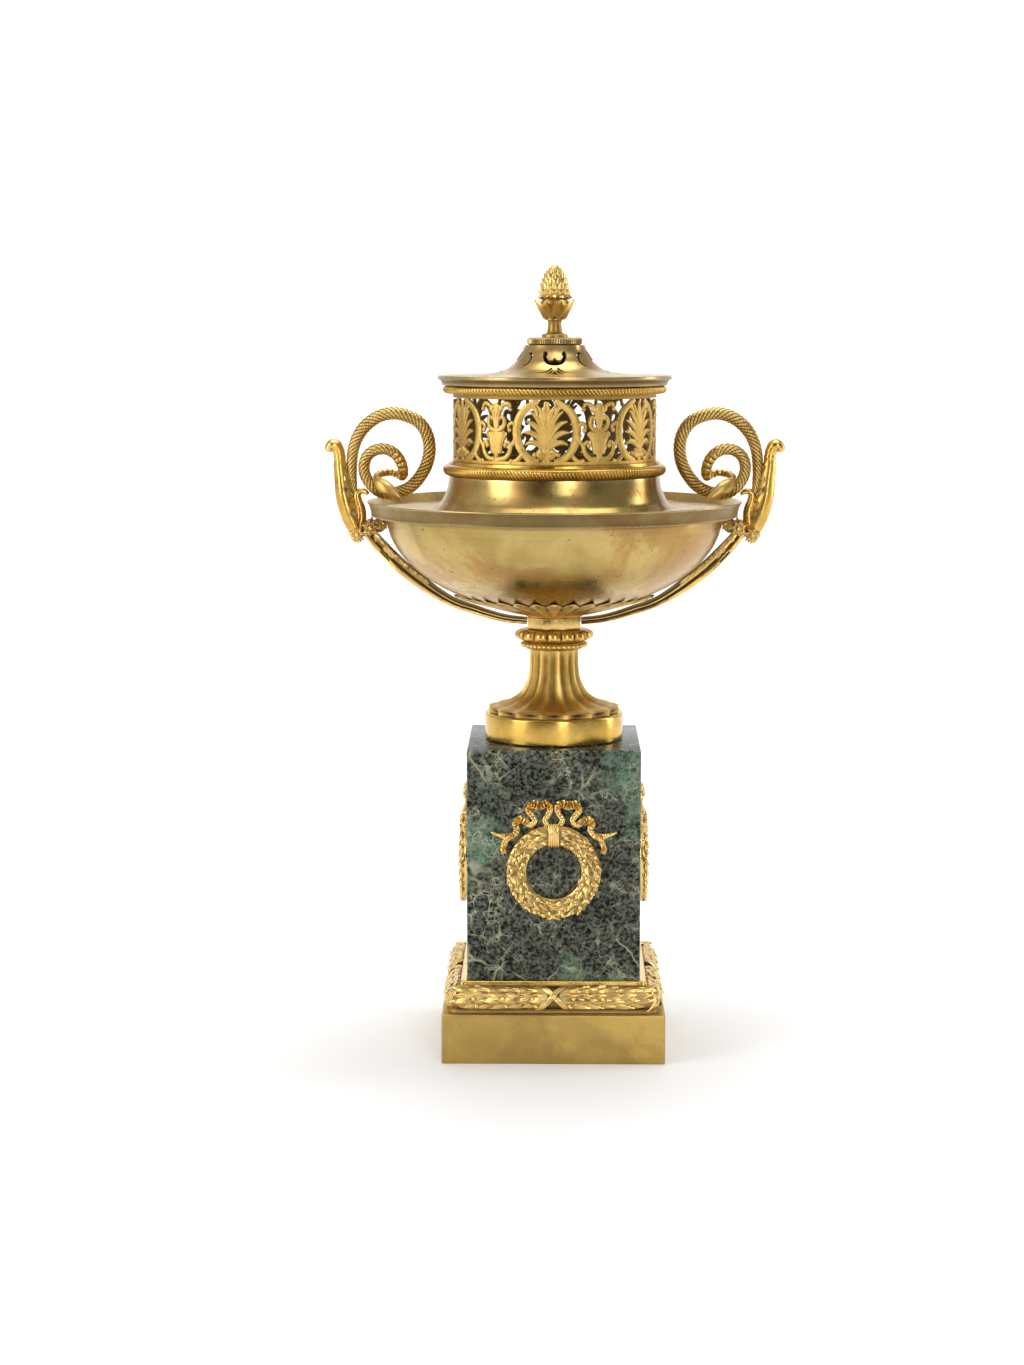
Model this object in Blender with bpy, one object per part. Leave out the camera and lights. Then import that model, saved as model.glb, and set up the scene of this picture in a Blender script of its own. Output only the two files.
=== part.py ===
"""Perfume burner in gilt bronze and green marble, on its plinth. Metres, +Z up, origin under the middle."""
import math

import bmesh
import bpy
from mathutils import Matrix, Vector

MM = 0.001
CLEARANCE = 0.3 * MM          # between pieces that touch

# Stack of heights, from the floor up
PLINTH_HEIGHT = 28.2 * MM
MOULDING_HEIGHT = 17.0 * MM
MARBLE_HEIGHT = 149.5 * MM
DRUM_HEIGHT = 15.3 * MM
FOOT_HEIGHT = 36.2 * MM
COLLAR_HEIGHT = 11.6 * MM
NECK_BLOCK_HEIGHT = 6.7 * MM
CALYX_SEAT = 2.4 * MM         # calyx casting between the neck block and the bowl
BOWL_DEPTH = 57.0 * MM        # underside of the bowl up to its widest ellipse
RIM_HEIGHT = 8.4 * MM
RIM_DROP = 1.4 * MM           # lower edge of the rim band below the widest ellipse
PLATE_DROP = 4.6 * MM         # shoulder plate below the top of the rim
SKIRT_HEIGHT = 19.1 * MM
LOWER_RING_HEIGHT = 8.2 * MM
GALLERY_HEIGHT = 37.9 * MM
UPPER_RING_HEIGHT = 4.5 * MM
LID_FLANGE_HEIGHT = 5.1 * MM
LID_DOME_HEIGHT = 17.4 * MM
DISC_HEIGHT = 4.0 * MM
FINIAL_HEIGHT = 40.6 * MM

# Plan sizes
PLINTH_WIDTH = 127.0 * MM
MOULDING_INSET = 1.0 * MM     # moulding inside the plinth's edge
MOULDING_DEPTH = 12.9 * MM
MARBLE_EDGE = 0.6 * MM
DRUM_RADIUS = 40.1 * MM
DRUM_EDGE = 0.5 * MM
FOOT_BASE_RADIUS = 38.4 * MM
FOOT_NECK_RADIUS = 14.3 * MM
FLUTE_COUNT = 16
COLLAR_RADIUS = 22.8 * MM
GADROON_COUNT = 16
NECK_BLOCK_HALF = 15.2 * MM
CALYX_LEAVES = 32
CALYX_NOTCH = 4.2 * MM        # from a leaf's tip back to the gap beside it
CALYX_LIFT = 1.6 * MM         # tips stand off the bowl by this
CALYX_EDGE = 1.0 * MM
BOWL_WALL = 2.0 * MM
RIM_RADIUS = 107.8 * MM       # the bowl, neck, gallery and lid are shares of it
RIM_FLARE = 2.6 * MM
PLATE_WALL = 1.5 * MM
PLATE_GAP = 1.8 * MM          # between the shoulder plate's edge and the rim
GALLERY_WALL = 1.7 * MM
GALLERY_REPEATS = 6
GALLERY_TURN = -4.5           # degrees from the front to a palmette
LID_WALL = 1.6 * MM
LID_DOME_TOP_RADIUS = 17.1 * MM
LID_MOTIFS = 4
DISC_RADIUS = 15.7 * MM
FINIAL_CUP_RADIUS = 11.1 * MM

# Wreath mounts on the marble
WREATH_RADIUS = 27.3 * MM
WREATH_HOLE_RADIUS = 15.3 * MM
WREATH_RELIEF = 5.5 * MM
WREATH_RISE = 80.0 * MM       # ring centre above the marble's foot
RIBBON_RELIEF = 3.2 * MM
RIBBON_THICKNESS = 1.9 * MM

# Handles and serpents, which stand up over the rim
HANDLE_HEIGHT = 53.4 * MM     # from the rim's top to the top of the serpent
STRAP_HALF_WIDTH = 5.6 * MM
SERPENT_RADIUS = 3.5 * MM

LATHE_STEPS = 28

# Heights that follow from the stack
moulding_z = PLINTH_HEIGHT + CLEARANCE
marble_z = PLINTH_HEIGHT + CLEARANCE
drum_z = marble_z + MARBLE_HEIGHT + CLEARANCE
foot_z = drum_z + DRUM_HEIGHT + CLEARANCE
collar_z = foot_z + FOOT_HEIGHT + CLEARANCE
neck_block_z = collar_z + COLLAR_HEIGHT + CLEARANCE
calyx_z = neck_block_z + NECK_BLOCK_HEIGHT + CLEARANCE
bowl_z = calyx_z + CALYX_SEAT + CLEARANCE
bowl_brim_z = bowl_z + BOWL_DEPTH
rim_low_z = bowl_brim_z - RIM_DROP
rim_top_z = rim_low_z + RIM_HEIGHT
plate_top_z = rim_top_z - PLATE_DROP
skirt_top_z = plate_top_z + SKIRT_HEIGHT
lower_ring_z = skirt_top_z + CLEARANCE
gallery_z = lower_ring_z + LOWER_RING_HEIGHT + CLEARANCE
upper_ring_z = gallery_z + GALLERY_HEIGHT + CLEARANCE
lid_z = upper_ring_z + UPPER_RING_HEIGHT + CLEARANCE
dome_z = lid_z + LID_FLANGE_HEIGHT
lid_top_z = dome_z + LID_DOME_HEIGHT
disc_z = lid_top_z + CLEARANCE
finial_z = disc_z + DISC_HEIGHT + CLEARANCE

# Radii that follow from the rim
bowl_radius = 0.9 * RIM_RADIUS
calyx_radius = 0.598 * bowl_radius
skirt_base_radius = 0.654 * RIM_RADIUS
skirt_top_radius = 0.561 * RIM_RADIUS
ring_radius = 0.5955 * RIM_RADIUS
gallery_radius = 0.54 * RIM_RADIUS
lid_radius = 0.6215 * RIM_RADIUS
ring_bore = gallery_radius - GALLERY_WALL
marble_width = PLINTH_WIDTH - 2 * (MOULDING_INSET + MOULDING_DEPTH + CLEARANCE)


def clear_scene():
    for item in list(bpy.data.objects):
        bpy.data.objects.remove(item, do_unlink=True)


def metal(name, colour, roughness, metallic=1.0):
    material = bpy.data.materials.new(name)
    material.use_nodes = True
    shader = material.node_tree.nodes["Principled BSDF"]
    shader.inputs["Base Color"].default_value = (*colour, 1.0)
    shader.inputs["Roughness"].default_value = roughness
    shader.inputs["Metallic"].default_value = metallic
    return material


def add_object(name, bm, material, smooth=True):
    bmesh.ops.remove_doubles(bm, verts=bm.verts, dist=1e-6)
    bmesh.ops.recalc_face_normals(bm, faces=bm.faces)
    mesh = bpy.data.meshes.new(name)
    bm.to_mesh(mesh)
    bm.free()
    if smooth:
        mesh.shade_smooth()
        mesh.set_sharp_from_angle(angle=math.radians(35))
    item = bpy.data.objects.new(name, mesh)
    item.data.materials.append(material)
    bpy.context.collection.objects.link(item)
    return item


def hide_tool(item):
    item.hide_render = True
    item.display_type = 'WIRE'


def boolean(item, tool, operation):
    hide_tool(tool)
    modifier = item.modifiers.new(tool.name, 'BOOLEAN')
    modifier.object = tool
    modifier.operation = operation
    return modifier


def spin_profile(profile, steps):
    """Turn a closed outline of (radius, height) about +Z."""
    bm = bmesh.new()
    verts = [bm.verts.new((radius, 0.0, height)) for radius, height in profile]
    edges = [bm.edges.new((verts[k - 1], verts[k])) for k in range(len(verts))]
    bmesh.ops.spin(bm, geom=verts + edges, axis=(0, 0, 1), cent=(0, 0, 0),
                   steps=steps, angle=2 * math.pi, use_duplicate=False)
    return bm


def lathe(name, profile, material, steps=LATHE_STEPS):
    return add_object(name, spin_profile(profile, steps), material)


def ring_stack(rings):
    """Skin equal rings of points into a closed body, with a face at each end."""
    bm = bmesh.new()
    loops = [[bm.verts.new(point) for point in ring] for ring in rings]
    for low, high in zip(loops, loops[1:]):
        count = len(low)
        for k in range(count):
            j = (k + 1) % count
            bm.faces.new((low[k], low[j], high[j], high[k]))
    bm.faces.new(reversed(loops[0]))
    bm.faces.new(loops[-1])
    return bm


def closed_sweep(rings):
    """Skin equal closed sections whose last joins the first."""
    bm = bmesh.new()
    loops = [[bm.verts.new(point) for point in ring] for ring in rings]
    for index, low in enumerate(loops):
        high = loops[(index + 1) % len(loops)]
        count = len(low)
        for k in range(count):
            j = (k + 1) % count
            bm.faces.new((low[k], low[j], high[j], high[k]))
    return bm


def tube_rings(path, sides, side_axis=Vector((0, 1, 0))):
    """Round or oval sections along (x, y, z, radius in plane, radius across) rows."""
    centres = [Vector(row[:3]) for row in path]
    rings = []
    for index, row in enumerate(path):
        ahead = centres[min(index + 1, len(centres) - 1)]
        behind = centres[max(index - 1, 0)]
        tangent = (ahead - behind).normalized()
        normal = side_axis.cross(tangent).normalized()
        across = tangent.cross(normal)
        rings.append([centres[index]
                      + normal * row[3] * math.cos(2 * math.pi * k / sides)
                      + across * row[4] * math.sin(2 * math.pi * k / sides)
                      for k in range(sides)])
    return rings


def make_plinth(material):
    bm = bmesh.new()
    bmesh.ops.create_cube(bm, size=1.0)
    bmesh.ops.scale(bm, verts=bm.verts, vec=(PLINTH_WIDTH, PLINTH_WIDTH, PLINTH_HEIGHT))
    bmesh.ops.translate(bm, verts=bm.verts, vec=(0, 0, PLINTH_HEIGHT / 2))
    add_object("plinth", bm, material, smooth=False)


def make_marble(material):
    bm = bmesh.new()
    bmesh.ops.create_cube(bm, size=1.0)
    bmesh.ops.scale(bm, verts=bm.verts, vec=(marble_width, marble_width, MARBLE_HEIGHT))
    bmesh.ops.translate(bm, verts=bm.verts, vec=(0, 0, marble_z + MARBLE_HEIGHT / 2))
    bmesh.ops.bevel(bm, geom=bm.edges[:], offset=MARBLE_EDGE, segments=1, affect='EDGES')
    add_object("marble_pedestal", bm, material, smooth=False)


def make_moulding(material):
    """Square frame round the marble's foot: bay-leaf torus, crossed ribbons, wrapped corners."""
    inner = marble_width / 2 + CLEARANCE
    leaf_swell = 0.07
    corner_reach = 0.9
    # outline as shares of depth and height, from the inner foot round the torus to the fillet
    outline = ((0, 0, 0), (0.9, 0, 0), (0.93, 0.2, 1), (0.9, 0.5, 1), (0.76, 0.72, 1),
               (0.55, 0.85, 1), (0.38, 0.86, 0), (0.30, 1.0, 0), (0, 1.0, 0))
    bundles = ((-0.86, 0), (-0.68, 1), (-0.5, 0), (-0.32, 1), (-0.12, 0),
               (0, 1), (0.12, 0), (0.32, 1), (0.5, 0), (0.68, 1), (0.86, 0))
    rings = []
    for turn in range(4):
        angle = turn * math.pi / 2
        out = Vector((math.cos(angle), math.sin(angle), 0))
        along = Vector((-out.y, out.x, 0))
        places = [(out * inner + along * share * inner, out, swell) for share, swell in bundles]
        places.append(((out + along) * inner, (out + along) * corner_reach, 1))
        for foot, reach, swell in places:
            rings.append([foot + reach * MOULDING_DEPTH * (u + swell * leaf_swell * carve)
                          + Vector((0, 0, moulding_z + v * MOULDING_HEIGHT))
                          for u, v, carve in outline])
    add_object("laurel_moulding", closed_sweep(rings), material)


def ribbon(rows, thickness, relief, back):
    """Flat band standing off the marble: (x, z) rows, its section square to the path."""
    path = [Vector((x, 0, z)) for x, z in rows]
    rings = []
    for index, point in enumerate(path):
        ahead = path[min(index + 1, len(path) - 1)]
        behind = path[max(index - 1, 0)]
        tangent = (ahead - behind).normalized()
        side = Vector((-tangent.z, 0, tangent.x)) * thickness / 2
        rings.append([point + side + Vector((0, -back, 0)), point - side + Vector((0, -back, 0)),
                      point - side - Vector((0, back + relief, 0)),
                      point + side - Vector((0, back + relief, 0))])
    return ring_stack(rings)


def wreath_mesh(material):
    """Laurel ring with a bow, built for the front face; the bow is joined to the ring."""
    face = marble_width / 2 + CLEARANCE
    centre = marble_z + WREATH_RISE
    middle = (WREATH_RADIUS + WREATH_HOLE_RADIUS) / 2
    half = (WREATH_RADIUS - WREATH_HOLE_RADIUS) / 2
    section = [(-1.0, 0.0), (-0.85, 0.6), (-0.2, 1.0), (0.7, 0.75), (1.0, 0.0)]
    leaves = 11
    rings = []
    for step in range(2 * leaves):
        angle = 2 * math.pi * step / (2 * leaves)
        swell = 1.0 if step % 2 else 0.82
        rings.append([Vector(((middle + u * half) * math.sin(angle), -face - v * swell * WREATH_RELIEF,
                              centre + (middle + u * half) * math.cos(angle)))
                      for u, v in section])
    wreath = add_object("wreath", closed_sweep(rings), material)
    # half of the bow, left of the ring's centre, in ring radii: two loops and a tail, a hanging end
    loops = ((-0.1538, 0.9341), (-0.1832, 1.1209), (-0.0733, 1.3333), (-0.2344, 1.4762),
             (-0.4982, 1.3919), (-0.4249, 1.011), (-0.7106, 1.1429), (-0.8059, 0.9524),
             (-0.9524, 0.7179), (-1.3333, 0.8352))
    drop = ((-0.9158, 0.7546), (-1.033, 0.6081), (-1.011, 0.381))
    for side in (1, -1):
        for index, rows in enumerate((loops, drop)):
            placed = [(side * x * WREATH_RADIUS, centre + z * WREATH_RADIUS) for x, z in rows]
            band = add_object(f"wreath_ribbon_{index}_{side}",
                              ribbon(placed, RIBBON_THICKNESS, RIBBON_RELIEF, face), material)
            boolean(wreath, band, 'UNION')
    depsgraph = bpy.context.evaluated_depsgraph_get()
    mesh = bpy.data.meshes.new_from_object(wreath.evaluated_get(depsgraph))
    bpy.data.objects.remove(wreath)
    return mesh


def make_wreaths(material):
    mesh = wreath_mesh(material)
    for name, turn in (("front", 0), ("right", 1), ("back", 2), ("left", 3)):
        item = bpy.data.objects.new(f"wreath_{name}", mesh)
        item.rotation_euler.z = turn * math.pi / 2
        bpy.context.collection.objects.link(item)


def make_drum(material):
    top = drum_z + DRUM_HEIGHT
    lathe("foot_drum", [(0, drum_z), (DRUM_RADIUS, drum_z), (DRUM_RADIUS, top - DRUM_EDGE),
                        (DRUM_RADIUS - DRUM_EDGE, top), (0, top)], material)


def scalloped_stack(rows, count, per_scallop, cusps_out):
    """Turned body whose rings carry scallops: rows of (radius, height, depth of scallop)."""
    steps = count * per_scallop
    rings = []
    for radius, height, depth in rows:
        ring = []
        for step in range(steps):
            phase = (step % per_scallop) / per_scallop
            hollow = math.sin(math.pi * phase)
            cut = depth * (hollow if cusps_out else 1 - hollow)
            angle = 2 * math.pi * (step / steps + 0.5 / count) - math.pi / 2
            ring.append(Vector(((radius - cut) * math.cos(angle), (radius - cut) * math.sin(angle),
                                height)))
        rings.append(ring)
    return ring_stack(rings)


def make_foot(material):
    """Trumpet foot with concave flutes, their ends scalloping its vertical edge."""
    flare = FOOT_BASE_RADIUS - FOOT_NECK_RADIUS
    rows = []
    # shares of the flare and of the height, with the flute's depth in neck radii
    for spread, rise, flute in ((1.0, 0.0, 0.1119), (1.0, 0.07, 0.1119), (0.93, 0.10, 0.1329),
                                (0.56, 0.16, 0.1469), (0.30, 0.25, 0.1329), (0.13, 0.40, 0.1049),
                                (0.02, 0.62, 0.0839), (0.0, 1.0, 0.0769)):
        rows.append((FOOT_NECK_RADIUS + spread * flare, foot_z + rise * FOOT_HEIGHT,
                     flute * FOOT_NECK_RADIUS))
    add_object("fluted_foot", scalloped_stack(rows, FLUTE_COUNT, 3, True), material)


def make_collar(material):
    """Gadrooned ring over a row of small leaves."""
    rows = []
    for share, rise, gap in ((0.62, 0.0, 0.0132), (0.82, 0.2, 0.0351), (0.85, 0.44, 0.0351),
                             (1.0, 0.62, 0.0702), (0.98, 0.86, 0.0658), (0.80, 1.0, 0.0263)):
        rows.append((share * COLLAR_RADIUS, collar_z + rise * COLLAR_HEIGHT,
                     gap * COLLAR_RADIUS))
    add_object("gadroon_collar", scalloped_stack(rows, GADROON_COUNT, 2, False), material)


def make_neck_block(material):
    bm = bmesh.new()
    radius = NECK_BLOCK_HALF / math.cos(math.pi / 8)
    bmesh.ops.create_cone(bm, cap_ends=True, segments=8, radius1=radius, radius2=radius,
                          depth=NECK_BLOCK_HEIGHT)
    bmesh.ops.rotate(bm, verts=bm.verts, matrix=Matrix.Rotation(math.pi / 8, 3, 'Z'))
    bmesh.ops.translate(bm, verts=bm.verts, vec=(0, 0, neck_block_z + NECK_BLOCK_HEIGHT / 2))
    add_object("neck_block", bm, material, smooth=False)


def bowl_height(radius):
    """Underside of the bowl at a radius."""
    return bowl_brim_z - BOWL_DEPTH * math.sqrt(1 - (radius / bowl_radius) ** 2)


def make_calyx(material):
    """Dish of pointed leaves under the bowl: its edge runs out to a tip and back between tips."""
    steps = 2 * CALYX_LEAVES
    directions = [Vector((math.sin(2 * math.pi * k / steps), -math.cos(2 * math.pi * k / steps), 0))
                  for k in range(steps)]
    up = Vector((0, 0, 1))
    seat_radius = 0.27 * calyx_radius
    # share of the radius, and of the tips' lift off the bowl
    spread = ((0.30, 0.125), (0.72, 0.28), (1.0, 1.0))
    seat_dip = 0.08 * CALYX_SEAT
    top = []
    for share, gap in spread:
        edge = share == 1.0
        radii = [share * calyx_radius - (CALYX_NOTCH if edge and k % 2 else 0)
                 for k in range(steps)]
        heights = [bowl_height(radius) - CLEARANCE - gap * CALYX_LIFT for radius in radii]
        top.append([d * r + up * z for d, r, z in zip(directions, radii, heights)])
        if edge:
            under = [[d * r + up * (z - CALYX_EDGE) for d, r, z in zip(directions, radii, heights)]]
    seat = [d * seat_radius + up * calyx_z for d in directions]
    middle = [d * seat_radius / 2 + up * (calyx_z + CALYX_SEAT - seat_dip) for d in directions]
    add_object("leaf_calyx", ring_stack([seat] + under + top[::-1] + [middle]), material)


def make_bowl(material):
    """Turned shell with an upstanding flared rim and a ledge inside it for the shoulder plate."""
    low = RIM_RADIUS - RIM_FLARE
    rim_wall = BOWL_WALL
    inner_radius = bowl_radius - BOWL_WALL
    inner_depth = BOWL_DEPTH - BOWL_WALL
    ledge_z = plate_top_z - PLATE_WALL - CLEARANCE
    outer, inner = [], []
    for step in range(7):
        swing = math.radians(88.6) * (step / 6) ** 0.9
        outer.append((bowl_radius * math.sin(swing), bowl_brim_z - BOWL_DEPTH * math.cos(swing)))
        inner.append((inner_radius * math.sin(swing), bowl_brim_z - inner_depth * math.cos(swing)))
    profile = outer + [(low, rim_low_z), (RIM_RADIUS, rim_top_z), (RIM_RADIUS - rim_wall, rim_top_z),
                       (low - rim_wall, ledge_z), (inner_radius, ledge_z)] + inner[::-1]
    lathe("bowl", profile, material)


def make_shoulder(material):
    """Plate recessed in the bowl's rim, swept up into an open neck."""
    edge = RIM_RADIUS - RIM_FLARE - BOWL_WALL - PLATE_GAP
    rise = skirt_base_radius - skirt_top_radius
    shares = ((0.0, 0.0), (0.38, 0.14), (0.72, 0.40), (0.95, 0.76), (1.0, 1.0))
    outer = [(skirt_base_radius - u * rise, plate_top_z + v * SKIRT_HEIGHT) for u, v in shares]
    inner = [(radius - PLATE_WALL, height - (PLATE_WALL if k < 2 else 0))
             for k, (radius, height) in enumerate(outer)]
    lathe("shoulder", [(edge, plate_top_z)] + outer + inner[::-1]
          + [(edge, plate_top_z - PLATE_WALL)], material)


def make_rope_rings(material):
    bead = 0.82                   # share of the lower ring's height, its fillet above
    swing = (-1.57, -0.5, 0.5, 1.57)
    low, high = lower_ring_z, lower_ring_z + LOWER_RING_HEIGHT
    half = bead * LOWER_RING_HEIGHT / 2
    rounds = [(ring_radius - half + half * math.cos(a), low + half * (1 + math.sin(a)))
              for a in swing]
    fillet = gallery_radius + half / 2
    lathe("lower_rope_ring", [(ring_bore, low)] + rounds
          + [(fillet, rounds[-1][1]), (fillet, high), (ring_bore, high)], material)
    low, high = upper_ring_z, upper_ring_z + UPPER_RING_HEIGHT
    half = UPPER_RING_HEIGHT / 2
    rounds = [(ring_radius - half + half * math.cos(a), low + half * (1 + math.sin(a)))
              for a in swing]
    lathe("upper_rope_ring", [(ring_bore, low)] + rounds + [(ring_bore, high)], material)


def radial_cutters(outlines, inner_radius, outer_radius, name, material):
    """Closed wedges standing out from the axis over outlines of (angle, height)."""
    bm = bmesh.new()
    for outline in outlines:
        near = [bm.verts.new((inner_radius * math.sin(a), -inner_radius * math.cos(a), z))
                for a, z in outline]
        far = [bm.verts.new((outer_radius * math.sin(a), -outer_radius * math.cos(a), z))
               for a, z in outline]
        count = len(outline)
        for k in range(count):
            j = (k + 1) % count
            bm.faces.new((near[k], near[j], far[j], far[k]))
        bm.faces.new(near[::-1])
        bm.faces.new(far)
    bmesh.ops.triangulate(bm, faces=bm.faces[:])
    return add_object(name, bm, material, smooth=False)


def make_gallery(material):
    """Cylinder pierced with palmettes in ovals and vases between them."""
    low, high = gallery_z, gallery_z + GALLERY_HEIGHT
    inner = gallery_radius - GALLERY_WALL
    gallery = lathe("gallery", [(inner, low), (gallery_radius, low), (gallery_radius, high),
                                (inner, high)], material, steps=3 * GALLERY_REPEATS)
    # holes right of a palmette: shares of the half repeat and of the height
    holes = (((0.0656, 0.20), (0.4463, 0.16), (0.4791, 0.56), (0.0656, 0.90)),
             ((0.6038, 0.10), (0.8696, 0.20), (0.7712, 0.50), (0.6235, 0.56)),
             ((0.6366, 0.66), (0.932, 0.56), (0.8696, 0.93), (0.5415, 0.93)))
    outlines = []
    half_repeat = math.pi / GALLERY_REPEATS
    for repeat in range(GALLERY_REPEATS):
        middle = math.radians(GALLERY_TURN) + 2 * half_repeat * repeat
        for hole in holes:
            for side in (1, -1):
                outlines.append([(middle + side * u * half_repeat,
                                  low + share * GALLERY_HEIGHT) for u, share in hole])
    cutter = radial_cutters(outlines, inner - GALLERY_WALL, gallery_radius + GALLERY_WALL,
                            "gallery_piercing", material)
    boolean(gallery, cutter, 'DIFFERENCE')


def make_lid(material):
    """Lift-off lid: stepped flange, bell dome, pierced; hollow underneath."""
    dome_spread = lid_radius - LID_DOME_TOP_RADIUS
    shares = ((0.52, 0.05), (0.27, 0.14), (0.155, 0.33), (0.06, 0.66), (0.0, 1.0))
    dome = [(LID_DOME_TOP_RADIUS + u * dome_spread, dome_z + v * LID_DOME_HEIGHT) for u, v in shares]
    hollow = [(radius - (0.2 if k < 1 else 1.0) * LID_WALL, height - LID_WALL)
              for k, (radius, height) in enumerate(dome) if k != 3]
    fillet = 0.27 * LID_FLANGE_HEIGHT
    profile = [(ring_bore, lid_z), (ring_radius, lid_z), (lid_radius, dome_z - fillet),
               (lid_radius, dome_z)] + dome + [(0, lid_top_z), (0, lid_top_z - LID_WALL)]
    profile += hollow[::-1] + [(ring_bore, dome_z - LID_WALL)]
    lid = lathe("lid", profile, material, steps=24)
    moustache = ((-0.40, 0.74), (0.0, 0.58), (0.40, 0.74), (0.2, 0.42), (-0.2, 0.42))
    crescent = ((-0.08, 0.30), (-0.12, 0.70), (0.02, 0.70), (0.06, 0.30))
    outlines = []
    for motif in range(LID_MOTIFS):
        middle = 2 * math.pi * motif / LID_MOTIFS
        for shape, turn in ((moustache, 0.0), (crescent, math.pi / LID_MOTIFS)):
            outlines.append([(middle + turn + a, dome_z + v * LID_DOME_HEIGHT) for a, v in shape])
    cutter = radial_cutters(outlines, LID_DOME_TOP_RADIUS / 2, 0.88 * lid_radius, "lid_piercing",
                            material)
    boolean(lid, cutter, 'DIFFERENCE').use_self = True


def make_disc(material):
    chamfer = 0.2 * DISC_HEIGHT
    top = disc_z + DISC_HEIGHT
    lathe("milled_disc", [(0, disc_z), (DISC_RADIUS, disc_z), (DISC_RADIUS, top - chamfer),
                          (DISC_RADIUS - 1.6 * chamfer, top), (0, top)], material)


def make_finial(material):
    """Turned knop, leaf cup with a curled lip, and a pine cone."""
    shares = ((0.67, 0.0), (0.67, 0.03), (0.40, 0.07), (0.38, 0.24), (0.62, 0.27), (0.93, 0.32),
              (0.91, 0.44), (1.0, 0.53), (0.80, 0.55), (0.78, 0.61), (0.68, 0.71), (0.54, 0.84),
              (0.30, 0.95))
    profile = [(0, finial_z)] + [(u * FINIAL_CUP_RADIUS, finial_z + v * FINIAL_HEIGHT)
                                 for u, v in shares] + [(0, finial_z + FINIAL_HEIGHT)]
    lathe("finial", profile, material, steps=16)


def strap_rings():
    """Arm under the bowl, from the neck block out to the rim."""
    rise = rim_top_z - neck_block_z
    # shares: x of the rim's radius, z of the rise, half thickness and half width of the strap's width
    shares = ((0.2551, 0.0801, 0.3571, 0.7857), (0.3432, 0.114, 0.3571, 0.8571),
              (0.4286, 0.1574, 0.3571, 0.9286), (0.5288, 0.209, 0.3214, 1),
              (0.6169, 0.2822, 0.4107, 1), (0.7143, 0.3813, 0.6071, 1),
              (0.8071, 0.4885, 0.625, 1), (0.8831, 0.5943, 0.625, 1),
              (0.9499, 0.6947, 0.6429, 0.9286), (0.9926, 0.768, 0.6429, 0.8214))
    root = (NECK_BLOCK_HALF + CLEARANCE, 0.0597 * rise, 0.375 * STRAP_HALF_WIDTH,
            0.7143 * STRAP_HALF_WIDTH)
    rows = [root] + [(x * RIM_RADIUS, z * rise, thick * STRAP_HALF_WIDTH, wide * STRAP_HALF_WIDTH)
                     for x, z, thick, wide in shares]
    section = ((-1, -0.5), (-0.4, -1), (0.75, -0.8), (0.75, 0.8), (-0.4, 1), (-1, 0.5))
    rings = []
    for index, (x, z, thick, wide) in enumerate(rows):
        ahead = rows[min(index + 1, len(rows) - 1)]
        behind = rows[max(index - 1, 0)]
        tangent = Vector((ahead[0] - behind[0], 0, ahead[1] - behind[1])).normalized()
        normal = Vector((-tangent.z, 0, tangent.x))
        if index == 0:
            normal = Vector((0, 0, 1))
        centre = Vector((x, 0, neck_block_z + z))
        rings.append([centre + normal * u * thick + Vector((0, v * wide, 0)) for u, v in section])
    return rings


def on_rim(shares):
    """Rows given as shares of the handle's height, measured from the rim's outer top edge."""
    return [[RIM_RADIUS + row[0] * HANDLE_HEIGHT, row[1] * HANDLE_HEIGHT,
             rim_top_z + row[2] * HANDLE_HEIGHT] + [size * HANDLE_HEIGHT for size in row[3:]]
            for row in shares]


def add_ball(name, centre, radii, material, rings=6, segments=7):
    bm = bmesh.new()
    bmesh.ops.create_uvsphere(bm, u_segments=segments, v_segments=rings, radius=1.0)
    bmesh.ops.scale(bm, verts=bm.verts, vec=radii)
    bmesh.ops.translate(bm, verts=bm.verts, vec=centre)
    return add_object(name, bm, material)


def handle_rows():
    """Horn and inner curl: place, radius in plane, radius across."""
    horn = ((0.088, 0, -0.3745, 0.0674, 0.0674), (0.1461, 0, -0.2715, 0.0787, 0.0824),
            (0.2172, 0, -0.1124, 0.0805, 0.0974), (0.2622, 0, 0.0562, 0.0749, 0.0974),
            (0.2846, 0, 0.2434, 0.0655, 0.0861), (0.3015, 0, 0.412, 0.0581, 0.0749),
            (0.309, 0, 0.5337, 0.0562, 0.0749), (0.3446, 0, 0.603, 0.0599, 0.0861),
            (0.3989, 0, 0.5918, 0.0543, 0.0899), (0.412, 0, 0.5281, 0.0375, 0.0674))
    curl = ((0.0824, 0, -0.2903, 0.0431, 0.0637), (0.0637, 0, -0.1685, 0.0375, 0.0562),
            (0.0861, 0, -0.0562, 0.0356, 0.0524), (0.1049, 0, 0.0412, 0.0337, 0.0487),
            (0.0712, 0, 0.0861, 0.0318, 0.0449), (0.0187, 0, 0.0824, 0.0281, 0.0412))
    return on_rim(horn), on_rim(curl)


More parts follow.
